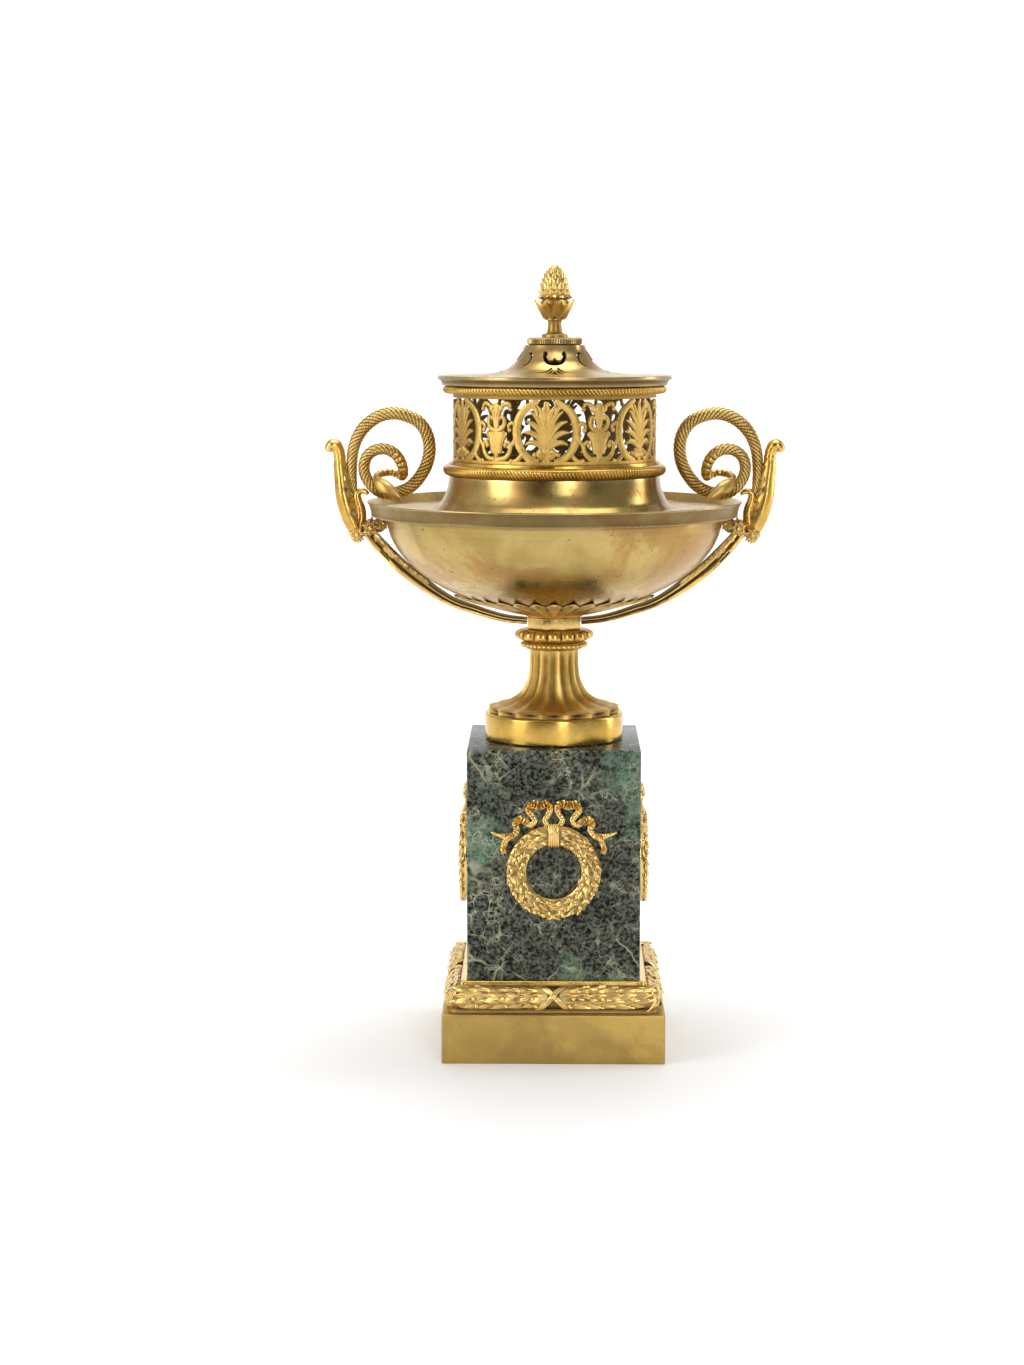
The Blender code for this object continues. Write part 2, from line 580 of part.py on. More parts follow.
def make_handle(side, material):
    """One casting: strap, rosettes, acanthus horn and inner curl; side is +1 or -1 along X."""
    name = "handle_right" if side > 0 else "handle_left"
    horn, curl = handle_rows()
    # boss against the bowl, pair of rosettes, knob at the horn's foot: place, then three radii
    balls = on_rim(((-0.1236, 0, -0.2697, 0.0824, 0.0861, 0.0824),
                    (-0.03, 0, -0.2959, 0.1011, 0.206, 0.1199),
                    (0.1086, 0, -0.3633, 0.0861, 0.1199, 0.1011)))
    boss_radius = balls[0][3]
    balls[0][0] = bowl_radius + 0.95 * boss_radius
    parts = [add_object(name + "_strap", ring_stack(strap_rings()), material),
             add_object(name + "_horn", ring_stack(tube_rings(horn, 7)), material),
             add_object(name + "_curl", ring_stack(tube_rings(curl, 6)), material)]
    parts += [add_ball(f"{name}_ball_{index}", row[:3], row[3:], material)
              for index, row in enumerate(balls)]
    for part in parts:
        if side < 0:
            mirror_x(part)
    body = parts[0]
    body.name = name
    for part in parts[1:]:
        boolean(body, part, 'UNION')


def mirror_x(item):
    bm = bmesh.new()
    bm.from_mesh(item.data)
    bmesh.ops.scale(bm, verts=bm.verts, vec=(-1, 1, 1))
    bmesh.ops.reverse_faces(bm, faces=bm.faces)
    bm.to_mesh(item.data)
    bm.free()


def serpent_rows():
    """Body from tail to snout in shares of the handle's height, then its share of the thickness."""
    return ((0.1461, 0, 0.1685, 0.62), (0.161, 0, 0.2528, 0.74), (0.1648, 0, 0.3745, 0.84),
            (0.1517, 0, 0.5243, 0.9), (0.1067, 0, 0.6667, 0.95), (0.0337, 0, 0.779, 1),
            (-0.0637, 0, 0.8633, 1), (-0.1798, 0, 0.9195, 1), (-0.3034, 0, 0.9345, 1),
            (-0.4345, 0, 0.9064, 1), (-0.5562, 0.0056, 0.8427, 1), (-0.6404, 0.0112, 0.7247, 1),
            (-0.6723, 0.0225, 0.5749, 1), (-0.6498, 0.0375, 0.4139, 1), (-0.573, 0.0599, 0.2622, 1),
            (-0.4644, 0.0787, 0.1442, 1), (-0.3352, 0.0749, 0.0824, 1),
            (-0.2135, 0.0375, 0.0693, 0.97), (-0.1199, -0.0112, 0.1011, 0.93),
            (-0.0412, -0.0412, 0.1723, 0.9), (0.015, -0.0599, 0.2734, 0.9),
            (0.0262, -0.0749, 0.3858, 0.9), (-0.0169, -0.0824, 0.4906, 0.9),
            (-0.1011, -0.0861, 0.5468, 0.9), (-0.1966, -0.0861, 0.5562, 0.9),
            (-0.2996, -0.0824, 0.5094, 0.9), (-0.367, -0.0712, 0.4195, 0.88),
            (-0.3914, -0.0487, 0.3258, 0.82), (-0.382, 0.0112, 0.2622, 0.72),
            (-0.3408, 0.0824, 0.2659, 0.64), (-0.2697, 0.1199, 0.2921, 0.6),
            (-0.1835, 0.1161, 0.2884, 0.58), (-0.1236, 0.0562, 0.2734, 0.58),
            (-0.1049, -0.0225, 0.2509, 0.6))


def head_rows():
    """Head from neck to snout: place, half width, half depth, in shares of the handle's height."""
    return ((-0.1049, -0.0861, 0.221, 0.0449, 0.0412), (-0.1498, -0.1536, 0.1835, 0.0693, 0.0487),
            (-0.2172, -0.1948, 0.1386, 0.0768, 0.0506), (-0.2921, -0.221, 0.0861, 0.0599, 0.0412),
            (-0.3596, -0.236, 0.0375, 0.0375, 0.0281), (-0.3895, -0.2416, 0.015, 0.0187, 0.0169))


def make_serpent(side, material):
    name = "serpent_right" if side > 0 else "serpent_left"
    body = serpent_rows()
    rows = [[*place, row[3] * SERPENT_RADIUS, row[3] * SERPENT_RADIUS]
            for place, row in zip(on_rim([row[:3] for row in body]), body)]
    rows += on_rim(head_rows())
    item = add_object(name, ring_stack(parallel_rings(rows, 6)), material)
    if side < 0:
        mirror_x(item)


def parallel_rings(path, sides):
    """Sections carried along a twisting path without spinning round it."""
    centres = [Vector(row[:3]) for row in path]
    normal = Vector((0, 1, 0))
    rings = []
    for index, row in enumerate(path):
        ahead = centres[min(index + 1, len(centres) - 1)]
        behind = centres[max(index - 1, 0)]
        tangent = (ahead - behind).normalized()
        normal = (normal - tangent * normal.dot(tangent)).normalized()
        across = tangent.cross(normal)
        rings.append([centres[index] + normal * row[4] * math.cos(2 * math.pi * k / sides)
                      + across * row[3] * math.sin(2 * math.pi * k / sides) for k in range(sides)])
    return rings


def build():
    clear_scene()
    gilt = metal("gilt_bronze", (0.86, 0.62, 0.24), 0.32)
    brass = metal("pale_brass", (0.72, 0.60, 0.36), 0.3)
    olive = metal("olive_brass", (0.52, 0.42, 0.2), 0.42)
    marble = metal("green_marble", (0.06, 0.09, 0.07), 0.25, metallic=0.0)
    make_plinth(olive)
    make_moulding(gilt)
    make_marble(marble)
    make_wreaths(gilt)
    make_drum(gilt)
    make_foot(gilt)
    make_collar(gilt)
    make_neck_block(gilt)
    make_calyx(gilt)
    make_bowl(brass)
    make_shoulder(brass)
    make_rope_rings(gilt)
    make_gallery(gilt)
    make_lid(brass)
    make_disc(brass)
    make_finial(gilt)
    for side in (1, -1):
        make_handle(side, gilt)
        make_serpent(side, gilt)


build()
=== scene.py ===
import math

import bmesh
import bpy
import numpy as np
from mathutils import Matrix, Vector


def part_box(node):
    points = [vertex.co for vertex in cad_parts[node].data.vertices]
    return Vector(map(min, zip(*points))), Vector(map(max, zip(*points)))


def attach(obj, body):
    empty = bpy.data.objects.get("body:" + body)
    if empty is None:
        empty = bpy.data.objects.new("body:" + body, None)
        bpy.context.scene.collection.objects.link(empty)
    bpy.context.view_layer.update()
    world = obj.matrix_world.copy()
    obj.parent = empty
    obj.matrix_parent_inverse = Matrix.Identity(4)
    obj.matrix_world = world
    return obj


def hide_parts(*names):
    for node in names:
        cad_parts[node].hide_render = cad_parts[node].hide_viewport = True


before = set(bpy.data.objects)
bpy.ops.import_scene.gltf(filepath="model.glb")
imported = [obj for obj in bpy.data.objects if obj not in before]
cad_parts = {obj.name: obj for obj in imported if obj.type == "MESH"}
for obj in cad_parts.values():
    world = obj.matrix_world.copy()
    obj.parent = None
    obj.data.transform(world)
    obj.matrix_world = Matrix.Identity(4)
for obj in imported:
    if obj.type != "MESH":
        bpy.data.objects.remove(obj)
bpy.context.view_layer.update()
mm = 0.001
mergeGap = 2e-6                              # points closer than this, in metres, are one
tau = 2 * math.pi
print("frame loaded")


class Sock:                                  # one node socket, so that maths reads as Python
    def __init__(self, tree, link):
        self.tree, self.link = tree, link

    def maths(self, operation, other=0.0):
        return self.tree.add("ShaderNodeMath", {"operation": operation}, {0: self, 1: other})

    def __add__(self, other):
        return self.maths("ADD", other)

    def __sub__(self, other):
        return self.maths("SUBTRACT", other)

    def __mul__(self, other):
        return self.maths("MULTIPLY", other)

    def __truediv__(self, other):
        return self.maths("DIVIDE", other)

    def __rsub__(self, other):
        return self.tree.add("ShaderNodeMath", {"operation": "SUBTRACT"}, {0: other, 1: self})

    __radd__, __rmul__ = __add__, __mul__

    def clip(self):
        return self.tree.add("ShaderNodeClamp", {}, {"Value": self})

    def ramp(self, low, high, first=0.0, last=1.0):
        return self.tree.add("ShaderNodeMapRange", {"interpolation_type": "SMOOTHSTEP"},
                             {"Value": self, "From Min": low, "From Max": high, "To Min": first, "To Max": last})

    def of(self, name):                      # another output of the same node
        return Sock(self.tree, self.link.node.outputs[name])


class Nodes:                                 # fills a shader or geometry tree
    def __init__(self, tree):
        self.tree = tree
        tree.nodes.clear()

    def add(self, kind, settings=None, sockets=None, out=0):
        node = self.tree.nodes.new(kind)
        for key, value in (settings or {}).items():
            setattr(node, key, value)
        for key, value in (sockets or {}).items():
            if isinstance(value, Sock):
                self.tree.links.new(value.link, node.inputs[key])
            else:
                node.inputs[key].default_value = value
        return Sock(self, node.outputs[out]) if len(node.outputs) else node

    def noise(self, at, scale, detail=3.0, rough=0.55, warp=0.0):
        return self.add("ShaderNodeTexNoise", {}, {"Vector": at, "Scale": scale, "Detail": detail,
                                                   "Roughness": rough, "Distortion": warp})

    def blend(self, share, first, second):
        mixed = {"data_type": "RGBA"}
        return self.add("ShaderNodeMix", mixed, {0: share, 6: first, 7: second}, out=2)


def newMaterial(name):
    material = bpy.data.materials.new(name)
    material.use_nodes = True
    return material, Nodes(material.node_tree)


def newTree(name, first, inputs, last):      # an empty geometry tree with its named inputs
    tree = bpy.data.node_groups.new(name, "GeometryNodeTree")
    for label, kind in [(first, "Geometry")] + inputs:
        tree.interface.new_socket(label, in_out="INPUT", socket_type="NodeSocket" + kind)
    tree.interface.new_socket(last, in_out="OUTPUT", socket_type="NodeSocketGeometry")
    t = Nodes(tree)
    return tree, t, t.add("NodeGroupInput")


def placed(name, data):                      # a new object in the scene
    item = bpy.data.objects.new(name, data)
    bpy.context.scene.collection.objects.link(item)
    return item


def colour(red, green, blue):
    return (red, green, blue, 1.0)


def ended(t, given, made, label):            # real geometry in its finish, as the tree's output
    made = t.add("GeometryNodeRealizeInstances", {}, {"Geometry": made})
    made = t.add("GeometryNodeSetMaterial", {}, {"Geometry": made, "Material": given.of("Finish")})
    t.add("NodeGroupOutput", {}, {label: made})


def outward(angle):                          # the flat direction at an angle from the front
    return Vector((math.sin(angle), -math.cos(angle), 0))


def metalFinish(name, look):                 # worn metal: clouds, stains, pits, hollows darkened with grime and painted shade, edges lightened as rubbed metal and painted highlight
    material, t = newMaterial(name)
    at = t.add("ShaderNodeTexCoord", out="Object")
    curvature = t.add("ShaderNodeAttribute", {"attribute_name": "curvature"}, out="Fac")
    tone = t.add("ShaderNodeAttribute", {"attribute_name": "tone"}, out="Fac")
    cloud = t.noise(at, look["cloudScale"], 4.0, 0.6, 0.4).ramp(0.35, 0.65)
    stain = t.noise(at, look["stainScale"], 5.0, 0.65, 0.8).ramp(look["stainFrom"], look["stainFrom"] + 0.1)
    pits = t.noise(at, look["pitScale"], 2.0, 0.5).ramp(look["pitFrom"], look["pitFrom"] + 0.06)
    grain = t.noise(at, look["grainScale"], 3.0, 0.6)
    # painted shade: hollows, found from the bend of the mesh, pull the colour towards the dark
    hollow = ((0.5 - curvature) * look["hollow"]).clip()
    # painted highlight and rubbed metal: convex edges are lightened and made smoother
    edge = ((curvature - 0.5) * look["edge"]).clip()
    # grime and painted shade together: the hollows, each point's painted-shade tone, and a fine grain
    grimeAndShade = (hollow + (1 - tone) * look["toneDirt"] + (grain - 0.5) * hollow).clip()
    base = t.blend(cloud, look["low"], look["high"])
    base = t.blend(stain * look["stainAmount"], base, look["stain"])
    base = t.blend(grimeAndShade, base, look["grimeAndShade"])
    base = t.blend(pits * look["pitAmount"], base, look["grimeAndShade"])
    base = t.blend(edge * 0.7, base, look["rubAndHighlight"])
    rough = (look["rough"] + (cloud - 0.5) * look["roughSpread"] + stain * 0.1 * look["stainAmount"]
             + grimeAndShade * 0.3 + pits * 0.2 - edge * 0.06 + (grain - 0.5) * 0.08).clip()
    metallic = 1 - (grimeAndShade * 0.55 + pits * look["pitAmount"] * 0.5).clip()
    relief = t.noise(at, look["waveScale"], 2.0) * look["waveDepth"]
    relief = relief + grain * look["grainDepth"] - pits * look["pitDepth"]
    bump = t.add("ShaderNodeBump", {}, {"Height": relief, "Distance": 0.001, "Strength": look["bump"]})
    shader = t.add("ShaderNodeBsdfPrincipled", {}, {"Base Color": base, "Roughness": rough,
                                                    "Metallic": metallic, "Normal": bump})
    t.add("ShaderNodeOutputMaterial", {}, {"Surface": shader})
    return material


# each look: hollow and edge set how strongly hollows take painted shade and edges painted highlight; the dark colour
# serves grime, pits and painted shade, the bright one rubbed edges and painted highlight
giltLook = {"cloudScale": 60.0, "stainScale": 90.0, "stainFrom": 0.56, "stainAmount": 0.35, "pitScale": 900.0,
            "pitFrom": 0.68, "pitAmount": 0.5, "grainScale": 1500.0, "hollow": 2.6, "edge": 1.6, "toneDirt": 1.0,
            "low": colour(0.58, 0.325, 0.050), "high": colour(0.80, 0.51, 0.110), "stain": colour(0.42, 0.21, 0.038),
            "grimeAndShade": colour(0.055, 0.028, 0.008), "rubAndHighlight": colour(0.98, 0.77, 0.36), "rough": 0.27,
            "roughSpread": 0.10, "waveScale": 160.0, "waveDepth": 0.5, "grainDepth": 0.10, "pitDepth": 0.12,
            "bump": 0.30}
brassLook = {**giltLook, "cloudScale": 14.0, "stainScale": 21.0, "stainFrom": 0.47, "stainAmount": 0.58,
             "low": colour(0.36, 0.250, 0.072), "high": colour(0.58, 0.415, 0.150), "stain": colour(0.40, 0.20, 0.060),
             "pitScale": 420.0, "pitFrom": 0.69, "pitAmount": 0.7, "rough": 0.25, "roughSpread": 0.12,
             "rubAndHighlight": colour(0.86, 0.74, 0.42), "waveScale": 70.0, "waveDepth": 0.5, "bump": 0.22}
oliveLook = {**giltLook, "cloudScale": 22.0, "stainScale": 40.0, "stainAmount": 0.28, "stainFrom": 0.5,
             "low": colour(0.36, 0.220, 0.040), "high": colour(0.55, 0.350, 0.076), "stain": colour(0.24, 0.150, 0.034),
             "pitScale": 700.0, "pitFrom": 0.70, "pitAmount": 0.6, "rough": 0.42, "rubAndHighlight": colour(0.66, 0.54, 0.28)}
mattLook = {**giltLook, "rough": 0.40, "grainDepth": 0.5, "grainScale": 1100.0, "bump": 0.5, "hollow": 3.2,
            "low": colour(0.55, 0.335, 0.062), "high": colour(0.76, 0.505, 0.135)}
polishLook = {**giltLook, "low": colour(0.54, 0.31, 0.048), "high": colour(0.75, 0.48, 0.104), "rough": 0.20,
              "roughSpread": 0.05, "waveDepth": 0.25, "stainAmount": 0.2, "pitAmount": 0.3}
serpentLook = {**giltLook, "rough": 0.30, "hollow": 5.0, "edge": 2.4, "low": colour(0.56, 0.34, 0.070),
               "high": colour(0.78, 0.51, 0.135)}

marbleLook = {"clast": 128.0, "chip": 250.0, "fine": 520.0, "warp": 0.0020, "warpScale": 150.0, "drift": 0.022,
              "driftScale": 28.0, "patch": 42.0, "patchFrom": 0.44, "patchTo": 0.62,
              "calm": 0.08, "busy": 0.95, "clastSize": (0.20, 0.80), "chipSize": (0.08, 0.60), "sharp": 22.0,
              "hidden": 0.82, "lines": 0.90,
              "ior": 1.5, "shine": 0.04, "cloud": 15.0, "streak": 21.0, "rough": 0.10,
              "black": colour(0.0030, 0.0042, 0.0034), "ground": colour(0.007, 0.009, 0.005),
              "grey": colour(0.026, 0.028, 0.012),
              "web": colour(0.50, 0.48, 0.32), "green": colour(0.085, 0.175, 0.110), "milk": colour(0.50, 0.55, 0.45),
              "tan": colour(0.36, 0.27, 0.13)}


def marbleFinish(name, look):                # green breccia: dark rounded clasts in a fine pale web, with green clouds
    material, t = newMaterial(name)
    at = t.add("ShaderNodeTexCoord", out="Object")

    def pushed(scale, far):
        push = t.noise(at, scale, 3.0, 0.6).of("Color")
        push = t.add("ShaderNodeVectorMath", {"operation": "SUBTRACT"}, {0: push, 1: (0.5, 0.5, 0.5)})
        push = t.add("ShaderNodeVectorMath", {"operation": "SCALE"}, {0: push, "Scale": far})
        return t.add("ShaderNodeVectorMath", {"operation": "ADD"}, {0: at, 1: push})

    def clasts(spot, scale, least, most):    # rounded dark stones, each cell with its own size
        cell = t.add("ShaderNodeTexVoronoi", {}, {"Vector": spot, "Scale": scale}, out="Distance")
        pick = t.add("ShaderNodeSeparateColor", {}, {"Color": cell.of("Color")})
        size = least + pick * (most - least)
        return ((size - cell) * look["sharp"]).clip()

    def web(spot, scale, width):             # thin pale lines where a noise crosses its middle
        ridge = t.noise(spot, scale, 4.0, 0.62)
        return (1 - (ridge - 0.5).maths("ABSOLUTE") / width).clip()

    def edges(where, scale):                 # distance to the nearest border between stones
        return t.add("ShaderNodeTexVoronoi", {"feature": "DISTANCE_TO_EDGE"}, {"Vector": where, "Scale": scale},
                     out="Distance")

    spot, far = pushed(look["warpScale"], look["warp"]), pushed(look["driftScale"], look["drift"])
    cloud = t.noise(far, look["cloud"], 4.0, 0.6)
    patch = t.noise(at, look["patch"], 3.0, 0.6)
    fine = t.noise(spot, look["fine"], 4.0, 0.7)
    stone = t.add("ShaderNodeTexVoronoi", {}, {"Vector": spot, "Scale": look["clast"]}, out="Color")
    pick = t.add("ShaderNodeSeparateColor", {}, {"Color": stone})
    rims = edges(spot, look["clast"])
    chips = edges(spot, look["chip"])
    mottle = (fine.ramp(0.45, 0.75) * 0.6 + pick.ramp(0.5, 1.0) * 0.35 + patch.ramp(0.45, 0.65) * 0.2).clip()
    body = t.blend(mottle, look["ground"], look["grey"])
    busy = look["calm"] + patch.ramp(look["patchFrom"], look["patchTo"]) * look["busy"]
    lines = (1 - rims / (0.014 + fine * 0.040)).clip() * 0.9 + (1 - chips / (0.014 + fine * 0.055)).clip() * 0.65
    lines = ((lines + web(spot, 130.0, 0.017) * 0.8 + web(at, 220.0, 0.019) * 0.5) * busy).clip()
    green = cloud.ramp(0.50, 0.59)
    body = t.blend(green * 0.85, body, look["green"])
    big, small = clasts(spot, look["clast"], *look["clastSize"]), clasts(spot, look["chip"], *look["chipSize"])
    dark = (big + small * 0.8).clip() * (1 - green * 0.72)
    body = t.blend(dark * 0.97, body, look["black"])
    inside = dark * fine.ramp(0.55, 0.75) * 0.12
    body = t.blend(inside, body, look["grey"])
    body = t.blend(lines * (1 - dark * look["hidden"]) * look["lines"], body, look["web"])
    milk = (cloud.ramp(0.635, 0.74) * fine.ramp(0.30, 0.62)).clip()
    body = t.blend(milk * 0.8, body, look["milk"])
    streak = edges(far, look["streak"])
    streak = (1 - streak / 0.016).clip() * t.noise(at, 34.0, 2.0).ramp(0.50, 0.62)
    body = t.blend(streak * 0.7, body, look["web"])
    body = t.blend(lines * t.noise(at, 70.0, 2.0).ramp(0.56, 0.68) * 0.6, body, look["tan"])
    curvature = t.add("ShaderNodeAttribute", {"attribute_name": "curvature"}, out="Fac")
    chipped = ((curvature - 0.56) * 4.0).clip() * fine.ramp(0.4, 0.6)
    body = t.blend(chipped * 0.6, body, look["milk"])
    rough = (look["rough"] + lines * 0.10 + chipped * 0.3 + (fine - 0.5) * 0.06).clip()
    bump = t.add("ShaderNodeBump", {}, {"Height": lines * 0.3 + fine * 0.2, "Distance": 0.0004, "Strength": 0.12})
    shader = t.add("ShaderNodeBsdfPrincipled", {}, {"Base Color": body, "Roughness": rough, "Normal": bump,
                                                    "IOR": look["ior"], "Specular IOR Level": look["shine"]})
    t.add("ShaderNodeOutputMaterial", {}, {"Surface": shader})
    return material


gilt = metalFinish("fireGilt", giltLook)
brass = metalFinish("paleBrass", brassLook)
olive = metalFinish("oliveBrass", oliveLook)
matt = metalFinish("mattGilt", mattLook)
polished = metalFinish("polishedGilt", polishLook)
scaly = metalFinish("serpentGilt", serpentLook)
marble = marbleFinish("greenBreccia", marbleLook)
print("finishes made")


class Shape:                                 # points in millimetres, faces, and a painted-shade tone for each point, low in recesses, grooves and under parts
    def __init__(self):
        self.points, self.faces, self.shadeTones = [], [], []

    def add(self, points, faces, tone=1.0):
        start = len(self.points)
        self.points.extend(tuple(p) for p in points)
        self.faces.extend(tuple(k + start for k in f) for f in faces)
        self.shadeTones.extend([tone] * len(points) if np.isscalar(tone) else list(tone))
        return self

    def join(self, other):
        return self.add(other.points, other.faces, other.shadeTones)

    def moved(self, change):                 # copy with every point passed through change
        made = Shape()
        return made.add([change(*p) for p in self.points], self.faces, self.shadeTones)


def gridFaces(rows, cols, wrapCols=False, wrapRows=False):
    faces = []
    for r in range(rows if wrapRows else rows - 1):
        for c in range(cols if wrapCols else cols - 1):
            d, e = (r + 1) % rows, (c + 1) % cols
            faces.append((r * cols + c, r * cols + e, d * cols + e, d * cols + c))
    return faces


def endCaps(rows, cols):                     # closes both ends of a row of rings
    return [tuple(range(cols - 1, -1, -1)), tuple(range((rows - 1) * cols, rows * cols))]


def slabFaces(rows, cols):                   # a front, a back and a stitched edge
    size = rows * cols
    faces = gridFaces(rows, cols)
    faces += [tuple(k + size for k in f[::-1]) for f in gridFaces(rows, cols)]
    rim = [r * cols for r in range(rows)] + [(rows - 1) * cols + c for c in range(1, cols)]
    rim += [r * cols + cols - 1 for r in range(rows - 2, -1, -1)] + [c for c in range(cols - 2, 0, -1)]
    return faces + [(rim[k], rim[k - 1], rim[k - 1] + size, rim[k] + size) for k in range(len(rim))]


def slopeAt(rows, k):                        # the step between a row's two neighbours
    ahead, behind = rows[min(k + 1, len(rows) - 1)], rows[max(k - 1, 0)]
    return ahead[0] - behind[0], ahead[1] - behind[1]


def oval(a, row, index):                     # section of a tube whose rows end in one or two radii
    return row[3] * math.cos(a), row[-1] * math.sin(a)


def toMesh(name, shape):
    mesh = bpy.data.meshes.new(name)
    mesh.from_pydata([(x * mm, y * mm, z * mm) for x, y, z in shape.points], [], shape.faces)
    mesh.attributes.new("tone", "FLOAT", "POINT").data.foreach_set("value", np.array(shape.shadeTones, np.float32))
    return mesh


def fromMesh(mesh):                          # a Shape from a finished mesh
    points = np.zeros(len(mesh.vertices) * 3)
    mesh.vertices.foreach_get("co", points)
    shadeTones = np.ones(len(mesh.vertices), np.float32)
    if "tone" in mesh.attributes:
        mesh.attributes["tone"].data.foreach_get("value", shadeTones)
    return Shape().add(points.reshape(-1, 3) / mm, [tuple(p.vertices) for p in mesh.polygons], shadeTones.tolist())


def markCurvature(mesh, gain=1.2, rounds=2):      # bend of the surface: 0 in hollows, 0.5 on flats, 1 on edges; the metals paint shade in its hollows and highlight on its edges
    count = len(mesh.vertices)
    at, normal = np.zeros(count * 3), np.zeros(count * 3)
    mesh.vertices.foreach_get("co", at)
    mesh.vertex_normals.foreach_get("vector", normal)
    at, normal = at.reshape(-1, 3), normal.reshape(-1, 3)
    ends = np.zeros(len(mesh.edges) * 2, np.int64)
    mesh.edges.foreach_get("vertices", ends)
    a, b = ends[0::2], ends[1::2]
    span = at[b] - at[a]
    length = np.linalg.norm(span, axis=1) + 1e-9
    touch = np.bincount(a, minlength=count) + np.bincount(b, minlength=count) + 1e-9
    bend = np.bincount(a, -(normal[a] * span).sum(1) / length, count)
    bend = (bend + np.bincount(b, (normal[b] * span).sum(1) / length, count)) / touch
    for _ in range(rounds):
        bend = 0.5 * bend + 0.5 * (np.bincount(a, bend[b], count) + np.bincount(b, bend[a], count)) / touch
    value = np.clip(0.5 + gain * bend, 0, 1).astype(np.float32)
    mesh.attributes.new("curvature", "FLOAT", "POINT").data.foreach_set("value", value)


def finishPiece(name, shape, material, nodes, sharp=38, gain=1.2):
    mesh = toMesh(name, shape)
    bm = bmesh.new()
    bm.from_mesh(mesh)
    bmesh.ops.remove_doubles(bm, verts=bm.verts, dist=mergeGap)
    bmesh.ops.dissolve_degenerate(bm, edges=bm.edges, dist=1e-6)
    bmesh.ops.recalc_face_normals(bm, faces=bm.faces)
    bm.to_mesh(mesh)
    bm.free()
    mesh.shade_smooth()
    mesh.set_sharp_from_angle(angle=math.radians(sharp))
    markCurvature(mesh, gain)
    mesh.materials.append(material)
    piece = placed(name, mesh)
    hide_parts(*nodes)
    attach(piece, "root")
    print(name, "made,", len(mesh.polygons), "faces")
    return piece


def span(node):                              # lowest and highest height of a CAD node, in millimetres
    low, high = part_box(node)
    return low.z / mm, high.z / mm


def reach(node):                             # its largest x
    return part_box(node)[1].x / mm


def smoothLine(rows, count):                 # a smooth curve through rows of numbers, evenly spaced
    rows = np.array(rows, float)
    steps = np.linalg.norm(np.diff(rows[:, :min(3, rows.shape[1])], axis=0), axis=1)
    knots = np.concatenate([[0], np.cumsum(steps)])
    slopes = np.gradient(rows, knots, axis=0)
    places = np.linspace(0, knots[-1], count)
    k = np.clip(np.searchsorted(knots, places, side="right") - 1, 0, len(rows) - 2)
    h = (knots[k + 1] - knots[k])[:, None]
    s = (places - knots[k])[:, None] / h
    return ((2 * s**3 - 3 * s**2 + 1) * rows[k] + (s**3 - 2 * s**2 + s) * h * slopes[k]
            + (3 * s**2 - 2 * s**3) * rows[k + 1] + (s**3 - s**2) * h * slopes[k + 1])


def softCorners(outline, radius, parts=3):   # rounds the corners of a closed (r, z) outline
    made, count = [], len(outline)
    for k, (x, z) in enumerate(outline):
        here = np.array((x, z), float)
        before, after = np.array(outline[k - 1], float), np.array(outline[(k + 1) % count], float)
        if x < 1e-6:
            made.append((x, z))
            continue
        left, right = before - here, after - here
        a = here + left * min(radius / (np.linalg.norm(left) + 1e-9), 0.45)
        b = here + right * min(radius / (np.linalg.norm(right) + 1e-9), 0.45)
        for t in np.linspace(0, 1, parts + 1):
            made.append(tuple((1 - t) ** 2 * a + 2 * t * (1 - t) * here + t**2 * b))
    return made


def turned(outline, steps=160, tone=1.0):    # a closed (r, z) outline spun about the axis
    angles = np.arange(steps) * tau / steps
    points = [(r * math.sin(a), -r * math.cos(a), z) for r, z in outline for a in angles]
    return Shape().add(points, gridFaces(len(outline), steps, True, True), tone)


def tubeAlong(path, sides, section, hint=(0, 1, 0), carried=False):   # rings of section(k, row) -> (out, across)
    path = np.array(path, float)
    places = path[:, :3]
    ahead = np.gradient(places, axis=0)
    ahead /= np.linalg.norm(ahead, axis=1)[:, None]
    side = np.array(hint, float)
    points = []
    for index, row in enumerate(path):
        if not carried:
            side = np.array(hint, float)
        side = side - ahead[index] * side.dot(ahead[index])
        side /= np.linalg.norm(side)
        out = np.cross(side, ahead[index])
        for k in range(sides):
            u, v = section(k * tau / sides, row, index)
            points.append(places[index] + out * u + side * v)
    count = len(path)
    faces = gridFaces(count, sides, True)
    faces += endCaps(count, sides)
    return Shape().add(points, faces)


def ball(centre, radii, rings=8, segments=12, tone=1.0):
    radii = (radii,) * 3 if np.isscalar(radii) else radii
    points = [(centre[0] + radii[0] * math.sin(p) * math.cos(a), centre[1] + radii[1] * math.sin(p) * math.sin(a),
               centre[2] + radii[2] * math.cos(p))
              for p in np.linspace(0, math.pi, rings + 1) for a in np.arange(segments) * tau / segments]
    return Shape().add(points, gridFaces(rings + 1, segments, True), tone)


def leafShape(length, width, lift, curl=0.0, rib=0.35, rows=5, bluntness=0.55, thick=0.35):
    # pointed leaf along +Y, its face towards +Z, with a raised midrib and a thin back
    points, shadeTones = [], []
    spread = (-1.0, -0.5, -0.12, 0.12, 0.5, 1.0)
    for layer in (0, 1):
        for t in np.linspace(0, 1, rows + 1):
            half = width / 2 * math.sin(math.pi * min(1.0, 0.12 + 0.88 * t) ** bluntness) if t < 1 else 0.02
            for s in spread:
                crown = lift * math.sin(math.pi * (0.1 + 0.8 * t)) * (1 - 0.6 * s * s) + curl * t * t
                ridge = rib * (1 - t * 0.7) if abs(s) < 0.2 else 0.0
                points.append((s * half, t * length, (crown + ridge) if layer == 0 else crown - thick - lift * 0.3))
                # painted shade: each leaf darker at its base and on its back
                shadeTones.append(0.25 + 0.75 * min(1.0, 1.7 * t) if layer == 0 else 0.2)
    return Shape().add(points, slabFaces(rows + 1, len(spread)), shadeTones)


